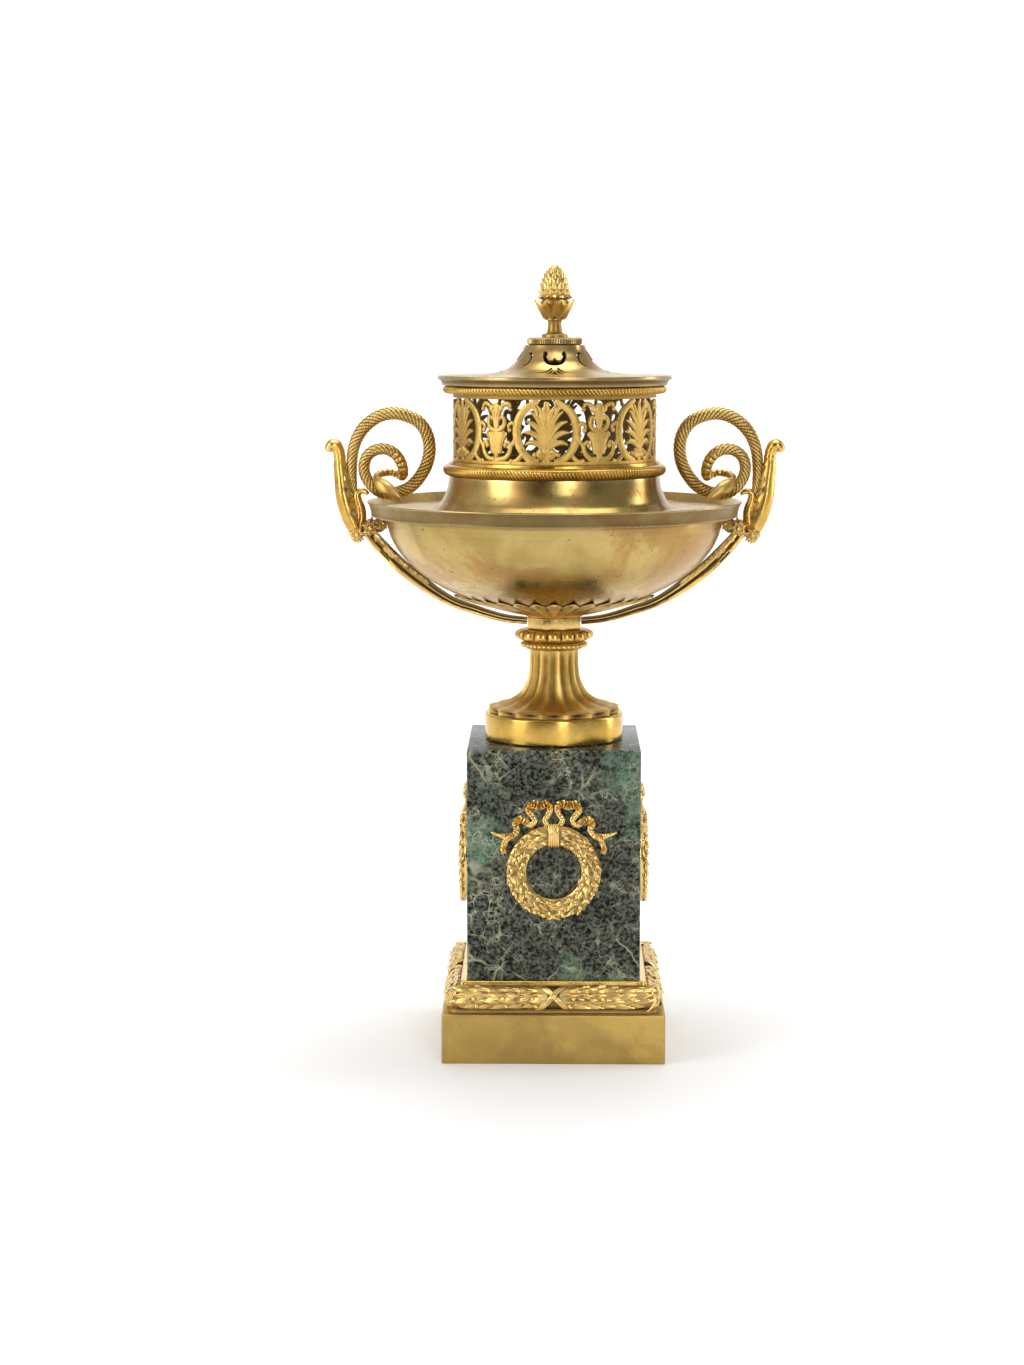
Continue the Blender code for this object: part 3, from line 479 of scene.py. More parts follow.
# puts one shape at each point, turned and sized, with a little hand-made spread
def setOutTree():
    inputs = [("Shape", "Object"), ("Wobble", "Float"), ("Size Spread", "Float"), ("Seed", "Int"),
              ("Finish", "Material")]
    tree, t, given = newTree("setOut", "Places", inputs, "Set Out")
    shape = t.add("GeometryNodeObjectInfo", {}, {"Object": given.of("Shape")}, out="Geometry")
    turn = t.add("GeometryNodeInputNamedAttribute", {"data_type": "FLOAT_VECTOR"}, {"Name": "turn"})
    size = t.add("GeometryNodeInputNamedAttribute", {"data_type": "FLOAT_VECTOR"}, {"Name": "size"})
    sway = t.add("FunctionNodeRandomValue", {"data_type": "FLOAT_VECTOR"},
                 {0: (-1, -1, -1), 1: (1, 1, 1), "Seed": given.of("Seed")})
    sway = t.add("ShaderNodeVectorMath", {"operation": "SCALE"}, {0: sway, "Scale": given.of("Wobble")})
    turn = t.add("ShaderNodeVectorMath", {"operation": "ADD"}, {0: turn, 1: sway})
    grow = t.add("FunctionNodeRandomValue", {"data_type": "FLOAT"}, {2: -1.0, 3: 1.0, "Seed": given.of("Seed") + 7},
                 out=1)
    size = t.add("ShaderNodeVectorMath", {"operation": "SCALE"}, {0: size, "Scale": 1 + grow * given.of("Size Spread")})
    made = t.add("GeometryNodeInstanceOnPoints", {},
                 {"Points": given, "Instance": shape, "Rotation": turn, "Scale": size})
    ended(t, given, made, "Set Out")
    return tree


setOutGroup = setOutTree()


def runTree(mesh, group, values):            # evaluates a geometry tree on a mesh and gives back the plain result
    holder = placed("bench", mesh)
    modifier = holder.modifiers.new("bench", "NODES")
    modifier.node_group = group
    for item in group.interface.items_tree:
        if item.in_out == "INPUT" and item.name in values:
            modifier[item.identifier] = values[item.name]
    sheet = bpy.context.evaluated_depsgraph_get()
    made = bpy.data.meshes.new_from_object(holder.evaluated_get(sheet))
    shape = fromMesh(made)
    bpy.data.objects.remove(holder)
    bpy.data.meshes.remove(made)
    return shape


def turnFor(along, out):                     # Euler turn that lays +Y along and +Z out
    y = Vector(along).normalized()
    z = Vector(out)
    z = (z - y * z.dot(y)).normalized()
    x = y.cross(z)
    return Matrix((x, y, z)).transposed().to_euler()


def setOut(shape, places, material, wobble=0.0, spread=0.0, seed=1):   # places: (point, along, out, size)
    mesh = bpy.data.meshes.new("places")
    mesh.from_pydata([tuple(c * mm for c in p) for p, _, _, _ in places], [], [])
    turns = np.array([turnFor(a, o) for _, a, o, _ in places], np.float32)
    sizes = np.array([(s,) * 3 if np.isscalar(s) else s for _, _, _, s in places], np.float32)
    mesh.attributes.new("turn", "FLOAT_VECTOR", "POINT").data.foreach_set("vector", turns.ravel())
    mesh.attributes.new("size", "FLOAT_VECTOR", "POINT").data.foreach_set("vector", sizes.ravel())
    pattern = bpy.data.objects.new("pattern", toMesh("pattern", shape))
    made = runTree(mesh, setOutGroup, {"Shape": pattern, "Wobble": wobble, "Size Spread": spread, "Seed": seed,
                                       "Finish": material})
    bpy.data.objects.remove(pattern)
    return made


blockLook = {"edge": 0.9, "marbleEdge": 0.9}


def boxShape(half, low, high, edge):
    bm = bmesh.new()
    bmesh.ops.create_cube(bm, size=1.0)
    bmesh.ops.scale(bm, verts=bm.verts, vec=(2 * half * mm, 2 * half * mm, (high - low) * mm))
    bmesh.ops.translate(bm, verts=bm.verts, vec=(0, 0, (low + high) / 2 * mm))
    bmesh.ops.bevel(bm, geom=bm.edges[:], offset=edge * mm, segments=3, affect="EDGES", profile=0.6)
    mesh = bpy.data.meshes.new("box")
    bm.to_mesh(mesh)
    bm.free()
    return fromMesh(mesh)


def makeBlocks():
    low, high = span("plinth")
    finishPiece("plinth_block", boxShape(reach("plinth"), low, high, blockLook["edge"]), olive,
                ["plinth"], 60)
    low, high = span("marble_pedestal")
    finishPiece("marble_block", boxShape(reach("marble_pedestal"), low, high, blockLook["marbleEdge"]), marble,
                ["marble_pedestal"], 60)


makeBlocks()

footLook = {"flutes": 16, "perFlute": 12, "rows": 56, "neck": 14.3, "flare": 24.1}


def makeFoot():
    low, high = span("foot_drum")
    drum = reach("foot_drum")
    outline = softCorners([(0, low), (drum - 0.5, low), (drum, low + 0.6), (drum, high - 0.8), (drum - 0.8, high),
                           (0, high)], 0.5)
    finishPiece("drum", turned(outline, 192), polished, ["foot_drum"])
    low, high = span("fluted_foot")
    neck, flare, tall = footLook["neck"], footLook["flare"], high - low
    shares = smoothLine([(1.0, 0.0, 2.2), (1.0, 0.035, 2.4), (1.0, 0.066, 2.2), (0.985, 0.078, 1.9), (0.93, 0.092, 1.9),
                         (0.74, 0.118, 2.1), (0.56, 0.156, 2.1), (0.41, 0.2, 2.0), (0.30, 0.25, 1.9), (0.2, 0.32, 1.7),
                         (0.13, 0.40, 1.5), (0.06, 0.5, 1.35), (0.02, 0.62, 1.2), (0.0, 0.78, 1.15), (0.0, 1.0, 1.1)],
                        footLook["rows"])
    steps = footLook["flutes"] * footLook["perFlute"]
    points, shadeTones = [], []
    for spread, rise, depth in shares:
        for step in range(steps):
            hollow = math.sin(math.pi * (step % footLook["perFlute"]) / footLook["perFlute"])
            angle = tau * (step / steps + 0.5 / footLook["flutes"])
            r = neck + spread * flare - depth * 1.4 * hollow
            points.append((r * math.sin(angle), -r * math.cos(angle), low + rise * tall))
            # painted shade: flute hollows a little darker, much darker at the foot's bottom edge
            shadeTones.append(1 - 0.22 * hollow ** 2 * (rise > 0.075) - 0.5 * hollow * (rise <= 0.075))
    faces = gridFaces(len(shares), steps, True)
    faces += endCaps(len(shares), steps)
    finishPiece("trumpet_foot", Shape().add(points, faces, shadeTones), matt, ["fluted_foot"], 40, 2.0)


makeFoot()

collarLook = {"lobes": 16, "perLobe": 14, "beads": 40, "bead": 1.25, "beadRing": 18.3, "radius": 22.8, "neck": 15.2}


def makeCollar():
    low, high = span("gadroon_collar")
    radius, tall = collarLook["radius"], high - low
    rows = smoothLine([(0.70, 0.0, 0.2), (0.72, 0.05, 0.2), (0.79, 0.12, 0.2), (0.80, 0.3, 0.2), (0.76, 0.36, 0.2),
                       (0.80, 0.42, 0.8),
                       (0.91, 0.5, 1.5), (0.985, 0.6, 2.3), (1.0, 0.7, 2.6), (0.985, 0.82, 2.4), (0.93, 0.91, 1.8),
                       (0.83, 0.975, 1.0), (0.72, 1.0, 0.4)], 44)
    steps = collarLook["lobes"] * collarLook["perLobe"]
    points, shadeTones = [], []
    for share, rise, gap in rows:
        for step in range(steps):
            swell = math.sin(math.pi * (step % collarLook["perLobe"]) / collarLook["perLobe"]) ** 0.55
            angle = tau * (step / steps + 0.5 / collarLook["lobes"])
            r = share * radius - gap * (1 - swell)
            points.append((r * math.sin(angle), -r * math.cos(angle), low + rise * tall))
            # painted shade: the gaps between gadroons darker, the lower part evenly dark
            shadeTones.append(0.45 + 0.55 * swell if rise > 0.42 else 0.55)
    faces = gridFaces(len(rows), steps, True)
    faces += endCaps(len(rows), steps)
    shape = Shape().add(points, faces, shadeTones)
    bead = ball((0, 0, 0), collarLook["bead"], 6, 8)
    places = []
    for k in range(collarLook["beads"]):
        out = outward(tau * k / collarLook["beads"])
        places.append((out * collarLook["beadRing"] + Vector((0, 0, low + 2.5)), (0, 0, 1), out, 1.0))
    shape.join(setOut(bead, places, gilt, 0.0, 0.06, 3))
    finishPiece("gadroon_collar_ring", shape, gilt, ["gadroon_collar"], 50)
    low, high = span("neck_block")
    wide = collarLook["neck"] / math.cos(math.pi / 8)
    outline = softCorners([(0, low), (wide, low), (wide, high), (0, high)], 0.45, 2)
    points = [(r * math.sin(a), -r * math.cos(a), z) for r, z in outline for a in (np.arange(8) + 0.5) * tau / 8]
    finishPiece("octagon_block", Shape().add(points, gridFaces(len(outline), 8, True, True)), gilt,
                ["neck_block"], 30)


makeCollar()

bowlLook = {"radius": 97.0, "depth": 57.0, "wall": 2.0, "rim": 107.8, "flare": 2.6, "seams": (300.6, 303.4)}
brimZ = span("bowl")[0] + bowlLook["depth"]
rimZ = span("bowl")[1]


def bowlUnder(radius):                       # height of the bowl's underside at a radius
    return brimZ - bowlLook["depth"] * math.sqrt(max(0.0, 1 - (radius / bowlLook["radius"]) ** 2))


calyxLook = {"leaves": 32, "radius": 58.0, "notch": 9.5, "rows": 22, "across": 8}


def makeCalyx():
    low, high = span("leaf_calyx")
    leaves, tip = calyxLook["leaves"], calyxLook["radius"]
    seat = 0.27 * tip
    edgeZ = bowlUnder(tip) - 2.9
    half = math.pi / leaves
    shape = Shape()
    rows, across = calyxLook["rows"], calyxLook["across"]
    grid, shadeTones, under = [], [], []
    for t in np.linspace(0, 1, rows + 1):
        r = seat + t * (tip - seat)
        past = max(0.0, (r - (tip - calyxLook["notch"])) / calyxLook["notch"])
        for s in np.linspace(-1, 1, across + 1):
            angle = s * half * max(0.0, 1 - past) ** 1.1
            line = low + (edgeZ - low) * t
            bulge = 0.75 * (1 - abs(s) ** 1.6) * min(1, 6 * t) * (1 - 0.5 * past)
            rib = 0.35 * math.exp(-(s / 0.13) ** 2) * min(1, 5 * t)
            grid.append((r, angle, line + 1.05 - bulge - rib))
            # painted shade: each leaf darker towards its sides, its tip bright, its underside dark
            shadeTones.append(0.25 + 0.75 * (1 - abs(s) ** 3) if past == 0 else 0.95)
            under.append((r, angle, min(line + 1.6, bowlUnder(r) - 0.4) if t < 1 else line + 1.15))
    count = len(grid)
    for leaf in range(leaves):
        turn = tau * leaf / leaves
        points = [(r * math.sin(a + turn), -r * math.cos(a + turn), z) for r, a, z in grid + under]
        faces = [f[::-1] for f in gridFaces(rows + 1, across + 1)]
        faces += [tuple(k + count for k in f) for f in gridFaces(rows + 1, across + 1)]
        cols = across + 1
        rim = [r * cols for r in range(rows + 1)] + [rows * cols + c for c in range(1, cols)]
        rim += [r * cols + cols - 1 for r in range(rows - 1, -1, -1)] + list(range(cols - 2, 0, -1))
        faces += [(rim[k - 1], rim[k], rim[k] + count, rim[k - 1] + count) for k in range(len(rim))]
        shape.add(points, faces, shadeTones + [0.3] * count)
    shape.join(turned([(0, low + 1.2), (seat + 0.5, low), (seat + 2.0, low + 1.0), (seat + 1.0, low + 2.2),
                       (0, low + 2.2)], 64))
    finishPiece("leaf_calyx_ring", shape, matt, ["leaf_calyx"], 50)


makeCalyx()


def makeBowl():
    a, b, wall, rim = bowlLook["radius"], bowlLook["depth"], bowlLook["wall"], bowlLook["rim"]
    swings = np.radians(np.linspace(0, 88.6, 72))
    outer = [(a * math.sin(s), brimZ - b * math.cos(s)) for s in swings]
    cut = []
    for r, z in outer:                       # two fine seam lines under the band
        near = min(abs(z - seam) for seam in bowlLook["seams"])
        cut.append((r - 0.35 * max(0.0, 1 - near / 0.7), z))
    low = rim - bowlLook["flare"]
    ledge = span("shoulder")[0] - 0.3
    band = [(a + 1.2, rimZ - 8.9), (low - 1.6, rimZ - 8.4), (low, rimZ - 8.4), (low + 0.25, rimZ - 7.6),
            (low + 0.1, rimZ - 7.0),
            (low + 0.6, rimZ - 4.5), (low + 1.3, rimZ - 2.4), (rim - 0.5, rimZ - 1.1), (rim, rimZ - 0.6), (rim, rimZ)]
    inside = [(rim - wall, rimZ), (low - wall, ledge), (a - wall, ledge)]
    inner = [((a - wall) * math.sin(s), brimZ - (b - wall) * math.cos(s)) for s in swings[::-2]]
    inner[-1] = (0.0, inner[-1][1])
    outline = cut + softCorners(band + inside, 0.3, 2)[1:-1] + inner
    shape = turned(outline, 224)
    # painted shade: the band under the rim darker, darkest where it faces front and back
    shape.shadeTones = [0.30 + 0.0028 * abs(x) if rimZ - 8.3 < z < rimZ - 0.8 and math.hypot(x, y) > low - 0.5 else 1.0
                   for x, y, z in shape.points]
    finishPiece("bowl_shell", shape, brass, ["bowl"], 32)
    top, base, neck = span("shoulder")[1], 70.5, 60.5
    plate = top - 19.1
    curve = smoothLine([(0, 0), (0.16, 0.03), (0.38, 0.14), (0.58, 0.26), (0.72, 0.40), (0.86, 0.57), (0.95, 0.76),
                        (1, 1)], 26)
    outer = [(base - u * (base - neck), plate + v * (top - plate)) for u, v in curve]
    inner = [(r - 1.5, z - (1.5 if k < 6 else 0)) for k, (r, z) in enumerate(outer)]
    edge = rim - bowlLook["flare"] - wall - 1.8
    outline = [(edge, plate - 1.5), (edge, plate)] + [(base + 1.0, plate)] + outer + inner[::-1]
    finishPiece("shoulder_plate", turned(outline, 192), brass, ["shoulder"], 32)


makeBowl()


def millRopeTree():                          # raises slanting strands on a ring, like a twisted rope
    inputs = [(label, "Float") for label in ("Strands", "Slant", "Depth", "From", "To", "Inside")]
    inputs.append(("Finish", "Material"))
    tree, t, given = newTree("millRope", "Ring", inputs, "Rope")
    place = t.add("GeometryNodeInputPosition")
    split = t.add("ShaderNodeSeparateXYZ", {}, {0: place})
    x, y, z = split, split.of("Y"), split.of("Z")
    angle = t.add("ShaderNodeMath", {"operation": "ARCTAN2"}, {0: y, 1: x})
    radius = (x * x + y * y).maths("SQRT")
    wave = (angle * given.of("Strands") + z * given.of("Slant")).maths("SINE")
    groove = (0.5 - wave * 0.5).maths("POWER", 2.2)
    inBand = z.maths("GREATER_THAN", given.of("From")) * z.maths("LESS_THAN", given.of("To"))
    inBand = inBand * radius.maths("GREATER_THAN", given.of("Inside"))
    normal = t.add("GeometryNodeInputNormal")
    push = t.add("ShaderNodeVectorMath", {"operation": "SCALE"},
                 {0: normal, "Scale": groove * inBand * given.of("Depth") * -1.0})
    made = t.add("GeometryNodeSetPosition", {}, {"Geometry": given, "Offset": push})
    # painted shade: the grooves between strands darker
    made = t.add("GeometryNodeStoreNamedAttribute", {"data_type": "FLOAT", "domain": "POINT"},
                 {"Geometry": made, "Name": "tone", "Value": 1 - groove * inBand * 0.7})
    ended(t, given, made, "Rope")
    return tree


ringLook = {"radius": 64.2, "bore": 56.5, "fillet": 60.0, "lowerStrands": 190.0, "upperStrands": 170.0, "depth": 0.85}


def makeRings():
    group = millRopeTree()
    for name, node, strands, bead in (("rope_ring_low", "lower_rope_ring", ringLook["lowerStrands"], 0.80),
                                      ("rope_ring_high", "upper_rope_ring", ringLook["upperStrands"], 1.0)):
        low, high = span(node)
        half = bead * (high - low) / 2
        outer = ringLook["radius"] - 0.15
        rounds = [(outer - half + half * math.cos(s), low + half + half * math.sin(s))
                  for s in np.linspace(-math.pi / 2, math.pi / 2, 13)]
        top = rounds[-1][1]
        outline = [(ringLook["bore"], low)] + rounds
        if bead < 1:
            outline += [(outer - half - 0.2, top), (ringLook["fillet"] + 0.6, top + 0.2), (ringLook["fillet"], high),
                        (ringLook["bore"], high)]
        else:
            outline += [(ringLook["bore"], high)]
        mesh = toMesh(name, turned(outline, int(strands) * 5))
        shape = runTree(mesh, group, {"Strands": strands, "Slant": 1500.0, "Depth": ringLook["depth"] * mm,
                                      "From": (low + 0.2) * mm, "To": (low + half * 1.5) * mm,
                                      "Inside": (outer - half + 0.3) * mm, "Finish": gilt})
        finishPiece(name, shape, gilt, [node], 60, 0.6)


makeRings()

discLook = {"radius": 15.7, "ridges": 66, "depth": 0.55}


def makeDisc():
    low, high = span("milled_disc")
    low -= 0.25                              # sits on the lid without a see-through gap
    edge = discLook["radius"]
    outline = [(0, low), (edge - 1.5, low), (edge - 0.5, low + 0.35), (edge, low + 0.8), (edge, high - 0.9),
               (edge - 0.5, high - 0.45), (edge - 1.5, high), (0, high)]
    steps = discLook["ridges"] * 6
    points, shadeTones = [], []
    for r, z in outline:
        for k in range(steps):
            groove = (0.5 - 0.5 * math.cos(tau * (k % 6) / 6)) if r > edge - 0.7 else 0
            a = tau * k / steps
            points.append(((r - groove * discLook["depth"]) * math.sin(a),
                           -(r - groove * discLook["depth"]) * math.cos(a), z))
            # painted shade: the milled grooves darker
            shadeTones.append(1 - 0.55 * groove)
    finishPiece("milled_collar", Shape().add(points, gridFaces(len(outline), steps, True, True), shadeTones), brass,
                ["milled_disc"], 30, 0.6)


makeDisc()

mouldLook = {"inner": 49.6, "core": (5.0, 7.2), "radius": 6.1, "leaf": 12.5, "leafWidth": 5.4, "gap": 8.4, "berry": 1.7,
             "corner": 0.24, "strand": 0.62, "cornerStrand": 0.7}


def makeMoulding():
    low, high = span("laurel_moulding")
    inner, (cu, cv), radius = mouldLook["inner"], mouldLook["core"], mouldLook["radius"]
    # painted shade: the core under the leaves near black, its foot dark, its top edge bright
    arc = [(cu + radius * math.cos(a), cv + radius * math.sin(a), 0.10) for a in np.radians(np.linspace(-48, 100, 15))]
    section = [(0, 0, 0.4), (arc[0][0], 0, 0.3)] + arc + [(3.6, 14.6, 0.7), (3.5, 15.9, 1), (3.1, 16.7, 1),
                                                          (2.6, 17, 1), (0, 17, 1)]
    frames = []                              # foot on the marble's line, outward direction, stretch
    for turn in range(4):
        a = turn * math.pi / 2
        out, along = Vector((math.cos(a), math.sin(a), 0)), Vector((-math.sin(a), math.cos(a), 0))
        for s in np.linspace(-inner, inner, 25):
            frames.append((out * inner + along * s, out, 1.0))
        for c in np.linspace(0, math.pi / 2, 11)[1:-1]:
            stretch = 1 + mouldLook["corner"] * math.sin(2 * c) ** 2
            frames.append(((out + along) * inner, out * math.cos(c) + along * math.sin(c), stretch))
    points, shadeTones = [], []
    for foot, out, stretch in frames:
        for u, v, tone in section:
            points.append(foot + out * u * stretch + Vector((0, 0, low + v)))
            shadeTones.append(tone)
    shape = Shape().add(points, gridFaces(len(frames), len(section), True, True), shadeTones)

    def on(turn, s, swing, lift=0.0):        # a place on the torus of one side, and its outward direction
        a = turn * math.pi / 2
        out, along = Vector((math.cos(a), math.sin(a), 0)), Vector((-math.sin(a), math.cos(a), 0))
        face = out * math.cos(swing) + Vector((0, 0, 1)) * math.sin(swing)
        place = out * (inner + cu) + along * s + Vector((0, 0, low + cv)) + face * (radius + lift)
        return place, face, along

    leaf = leafShape(mouldLook["leaf"], mouldLook["leafWidth"], 1.1, 0.3, 0.55, 6, 0.6, 0.6)
    leaves, berries = [], []
    for turn in range(4):
        for way in (1, -1):
            for k in range(6):
                s = way * (3.6 + k * mouldLook["gap"])
                for swing, shift, aim in ((0.55, 0.0, 0.0), (1.25, 1.2, 0.16), (-0.15, 1.2, -0.16), (1.62, 4.6, 0.1),
                                          (-0.62, 4.6, -0.1)):
                    where = s + way * shift
                    if abs(where) > 48.5:
                        continue
                    place, face, along = on(turn, where, swing, -0.25)
                    rise = face.cross(along) * -aim
                    leaves.append((place, along * way + rise * 1.0 + face * 0.05, face, 1.0))
                for swing, shift in ((0.22, 8.0), (0.92, 7.4), (-0.45, 6.2)):
                    where = s + way * shift
                    if abs(where) < 46 and (k + int(swing > 0.5)) % 2 == 0:
                        place, face, along = on(turn, where, swing, 0.75)
                        berries.append((place, along, face, 1.0))
        a = turn * math.pi / 2
        out, along = Vector((math.cos(a), math.sin(a), 0)), Vector((-math.sin(a), math.cos(a), 0))
        corner = (out + along).normalized()
        for strand in (-1.5, -0.5, 0.5, 1.5):    # ribbon wrapped over each corner
            path = []
            for swing in np.linspace(-1.0, 1.75, 18):
                face = corner * math.cos(swing) + Vector((0, 0, 1)) * math.sin(swing)
                across = (along - out).normalized() * (strand * 1.35 + (swing - 0.4) * 1.5)
                middle = (out + along) * inner + corner * cu * 1.24 + Vector((0, 0, low + cv))
                path.append((*(middle + face * (radius + 0.75) + across), mouldLook["cornerStrand"]))
            shape.join(tubeAlong(path, 8, oval, (0.31, 0.52, 0.2)))
    shape.join(setOut(leaf, leaves, gilt, 0.07, 0.08, 11))
    shape.join(setOut(ball((0, 0, 0), mouldLook["berry"], 5, 8), berries, gilt, 0.0, 0.12, 12))
    for turn in range(4):
        for way in (1, -1):
            for strand in (-1, 0, 1):
                path = []
                for swing in np.linspace(-0.85, 1.72, 22):
                    s = way * (swing - 0.5) * 6.4 + strand * 1.35
                    path.append(on(turn, s, swing, 0.85 - 0.1 * abs(strand) + 0.25 * (way > 0))[0])
                shape.join(tubeAlong([(*p, mouldLook["strand"]) for p in path], 8, oval, (0.31, 0.52, 0.2)))
    finishPiece("laurel_leaf_moulding", shape, gilt, ["laurel_moulding"], 45, 2.3)


makeMoulding()

wreathLook = {"rise": 108.5, "face": 49.6, "middle": 21.3, "half": 5.9, "relief": 3.4, "leaf": 6.8, "leafWidth": 4.2,
              "rows": (-0.70, -0.24, 0.24, 0.70), "pitch": 5.6, "steps": 120}
bowLine = [(-3.6, 27.0, 2.2), (-5.0, 30.0, 2.2), (-3.0, 33.2, 2.0), (-2.0, 36.6, 2.4), (-4.0, 39.2, 3.0),
           (-8.2, 38.2, 3.4), (-12.4, 38.8, 3.2),
           (-14.4, 35.4, 2.4), (-12.2, 32.3, 2.2), (-10.6, 29.6, 2.2), (-13.2, 27.0, 2.2), (-16.2, 29.0, 2.6),
           (-19.0, 30.4, 3.0),
           (-21.8, 28.0, 2.6), (-20.8, 24.2, 2.2), (-22.9, 21.2, 2.6), (-26.1, 20.2, 2.6), (-30.5, 21.0, 1.8),
           (-35.6, 23.0, 0.9)]
dropLine = [(-24.4, 20.6, 2.0), (-26.6, 18.6, 2.2), (-28.0, 15.8, 2.2), (-28.6, 13.2, 2.4), (-27.8, 10.8, 2.0)]


def ribbonShape(line, side, face):           # crimped band standing on the marble, (x, z, width) rows
    rows = smoothLine(line, len(line) * 7)
    points, shadeTones = [], []
    for k, (x, z, width) in enumerate(rows):
        dx, dz = slopeAt(rows, k)
        size = math.hypot(dx, dz)
        nx, nz = -dz / size, dx / size
        crimp = 0.75 * math.sin(k * 1.9) * min(1.0, max(0.25, (width - 2.0) / 0.8))
        high = 1.9 + 0.5 * math.sin(k * 0.31)
        for share, rise in ((-0.5, 0.0), (-0.5, high * 0.8), (-0.36, high + crimp), (0.0, high + 0.25 + crimp),
                            (0.36, high + crimp), (0.5, high * 0.8), (0.5, 0.0)):
            points.append((side * (x + nx * width * share * 1.45), -face - rise,
                           wreathLook["rise"] + z + nz * width * share * 1.45))
            # painted shade: the ribbon darker where it stands low, bright on its crest
            shadeTones.append(1.0 if rise > 1.5 else 0.6)
    cols = 7
    faces = gridFaces(len(rows), cols, True)
    faces += endCaps(len(rows), cols)
    return Shape().add(points, faces, shadeTones)


def wreathShape():                           # for the front face; the others are turned copies
    look = wreathLook
    shape = Shape()
    section = [(-1.0, 0.0), (-1.0, 0.45), (-0.9, 0.72), (-0.5, 0.94), (0.0, 1.0), (0.5, 0.9), (0.88, 0.62),
               (1.0, 0.35), (1.0, 0.0)]
    angles = np.arange(look["steps"]) * tau / look["steps"]
    points, shadeTones = [], []
    for a in angles:
        for u, v in section:
            r = look["middle"] + u * look["half"]
            points.append((r * math.sin(a), -look["face"] - v * look["relief"], look["rise"] + r * math.cos(a)))
            # painted shade: the ground between the leaves near black, its two edges bright
            shadeTones.append(1.0 if abs(u) > 0.8 else 0.12)
    shape.add(points, gridFaces(look["steps"], len(section), True, True), shadeTones)
    leaves, berries = [], []
    for index, u in enumerate(look["rows"]):
        r = look["middle"] + u * look["half"] * 0.94
        count = int(math.pi * r / look["pitch"])
        for way in (1, -1):
            for k in range(count):
                angle = 0.16 + (k + 0.5 * (index % 2)) * (math.pi - 0.16) / count
                out = Vector((math.sin(angle) * way, 0, math.cos(angle)))
                along = Vector((math.cos(angle) * way, 0, -math.sin(angle)))
                high = look["relief"] * (1 - 0.42 * u * u)
                place = out * r + Vector((0, -look["face"] - high + 0.5, look["rise"]))
                aim = along + out * (0.35 * math.sin(k * 2.3 + index) - 0.2 * u) + Vector((0, -0.26, 0))
                leaves.append((place, aim, Vector((0, -1, 0)) + out * u * 0.7, 1.0))
                if (k * 3 + index * 2) % 3 == 0:
                    berries.append((place + along * 2.4 + Vector((0, -1.1, 0)), along, Vector((0, -1, 0)), 1.0))
    leaf = leafShape(look["leaf"], look["leafWidth"], 0.8, 0.3, 0.30, 5, 0.5, 0.5)
    shape.join(setOut(leaf, leaves, gilt, 0.13, 0.12, 21))
    shape.join(setOut(ball((0, 0, 0), 1.7, 5, 8), berries, gilt, 0.0, 0.15, 22))
    for k in (-2, -1, 0, 1, 2):              # tie band over the top
        path = []
        for s in np.linspace(-1.04, 1.04, 15):
            high = look["relief"] * (1 - 0.5 * s * s) + 1.15
            r = look["middle"] + s * look["half"]
            path.append((k * 1.15 * (1 + 0.12 * abs(s)), -look["face"] - high, look["rise"] + r, 0.72))
        head, tail = path[0], path[-1]
        path = [(head[0], -look["face"], head[2], 0.72)] + path + [(tail[0], -look["face"], tail[2], 0.72)]
        shape.join(tubeAlong(path, 8, oval, (1, 0, 0)))
    for side in (1, -1):
        shape.join(ribbonShape(bowLine, side, look["face"]))
        shape.join(ribbonShape(dropLine, side, look["face"]))
    return shape


def makeWreaths():
    shape = wreathShape()
    for index, name in enumerate(("front", "right", "back", "left")):
        c, s = math.cos(index * math.pi / 2), math.sin(index * math.pi / 2)
        turnedShape = shape.moved(lambda x, y, z: (x * c - y * s, x * s + y * c, z))
        finishPiece("laurel_wreath_" + name, turnedShape, gilt, ["wreath_" + name], 45, 2.3)


makeWreaths()


def wrapRoundTree():                         # repeats a flat panel side by side and bends the row round the axis
    inputs = [("Repeats", "Int"), ("Pitch", "Float"), ("Radius", "Float"), ("Turn", "Float"), ("Finish", "Material")]
    tree, t, given = newTree("wrapRound", "Panel", inputs, "Gallery")
    step = t.add("ShaderNodeCombineXYZ", {}, {"X": given.of("Pitch")})
    row = t.add("GeometryNodeMeshLine", {"mode": "OFFSET"}, {"Count": given.of("Repeats"), "Offset": step})
    made = t.add("GeometryNodeInstanceOnPoints", {}, {"Points": row, "Instance": given})
    made = t.add("GeometryNodeRealizeInstances", {}, {"Geometry": made})
    split = t.add("ShaderNodeSeparateXYZ", {}, {0: t.add("GeometryNodeInputPosition")})
    angle = split / given.of("Radius") + given.of("Turn")
    out = given.of("Radius") + split.of("Y")
    place = t.add("ShaderNodeCombineXYZ", {}, {"X": out * angle.maths("SINE"), "Y": out * angle.maths("COSINE") * -1.0,
                                               "Z": split.of("Z")})
    made = t.add("GeometryNodeSetPosition", {}, {"Geometry": made, "Position": place})
    made = t.add("GeometryNodeSetMaterial", {}, {"Geometry": made, "Material": given.of("Finish")})
    t.add("NodeGroupOutput", {}, {"Gallery": made})
    return tree


galleryLook = {"radius": 58.2, "wall": 1.7, "repeats": 6, "turn": -4.5, "band": 2.0, "lip": 2.2, "bold": 1.62}


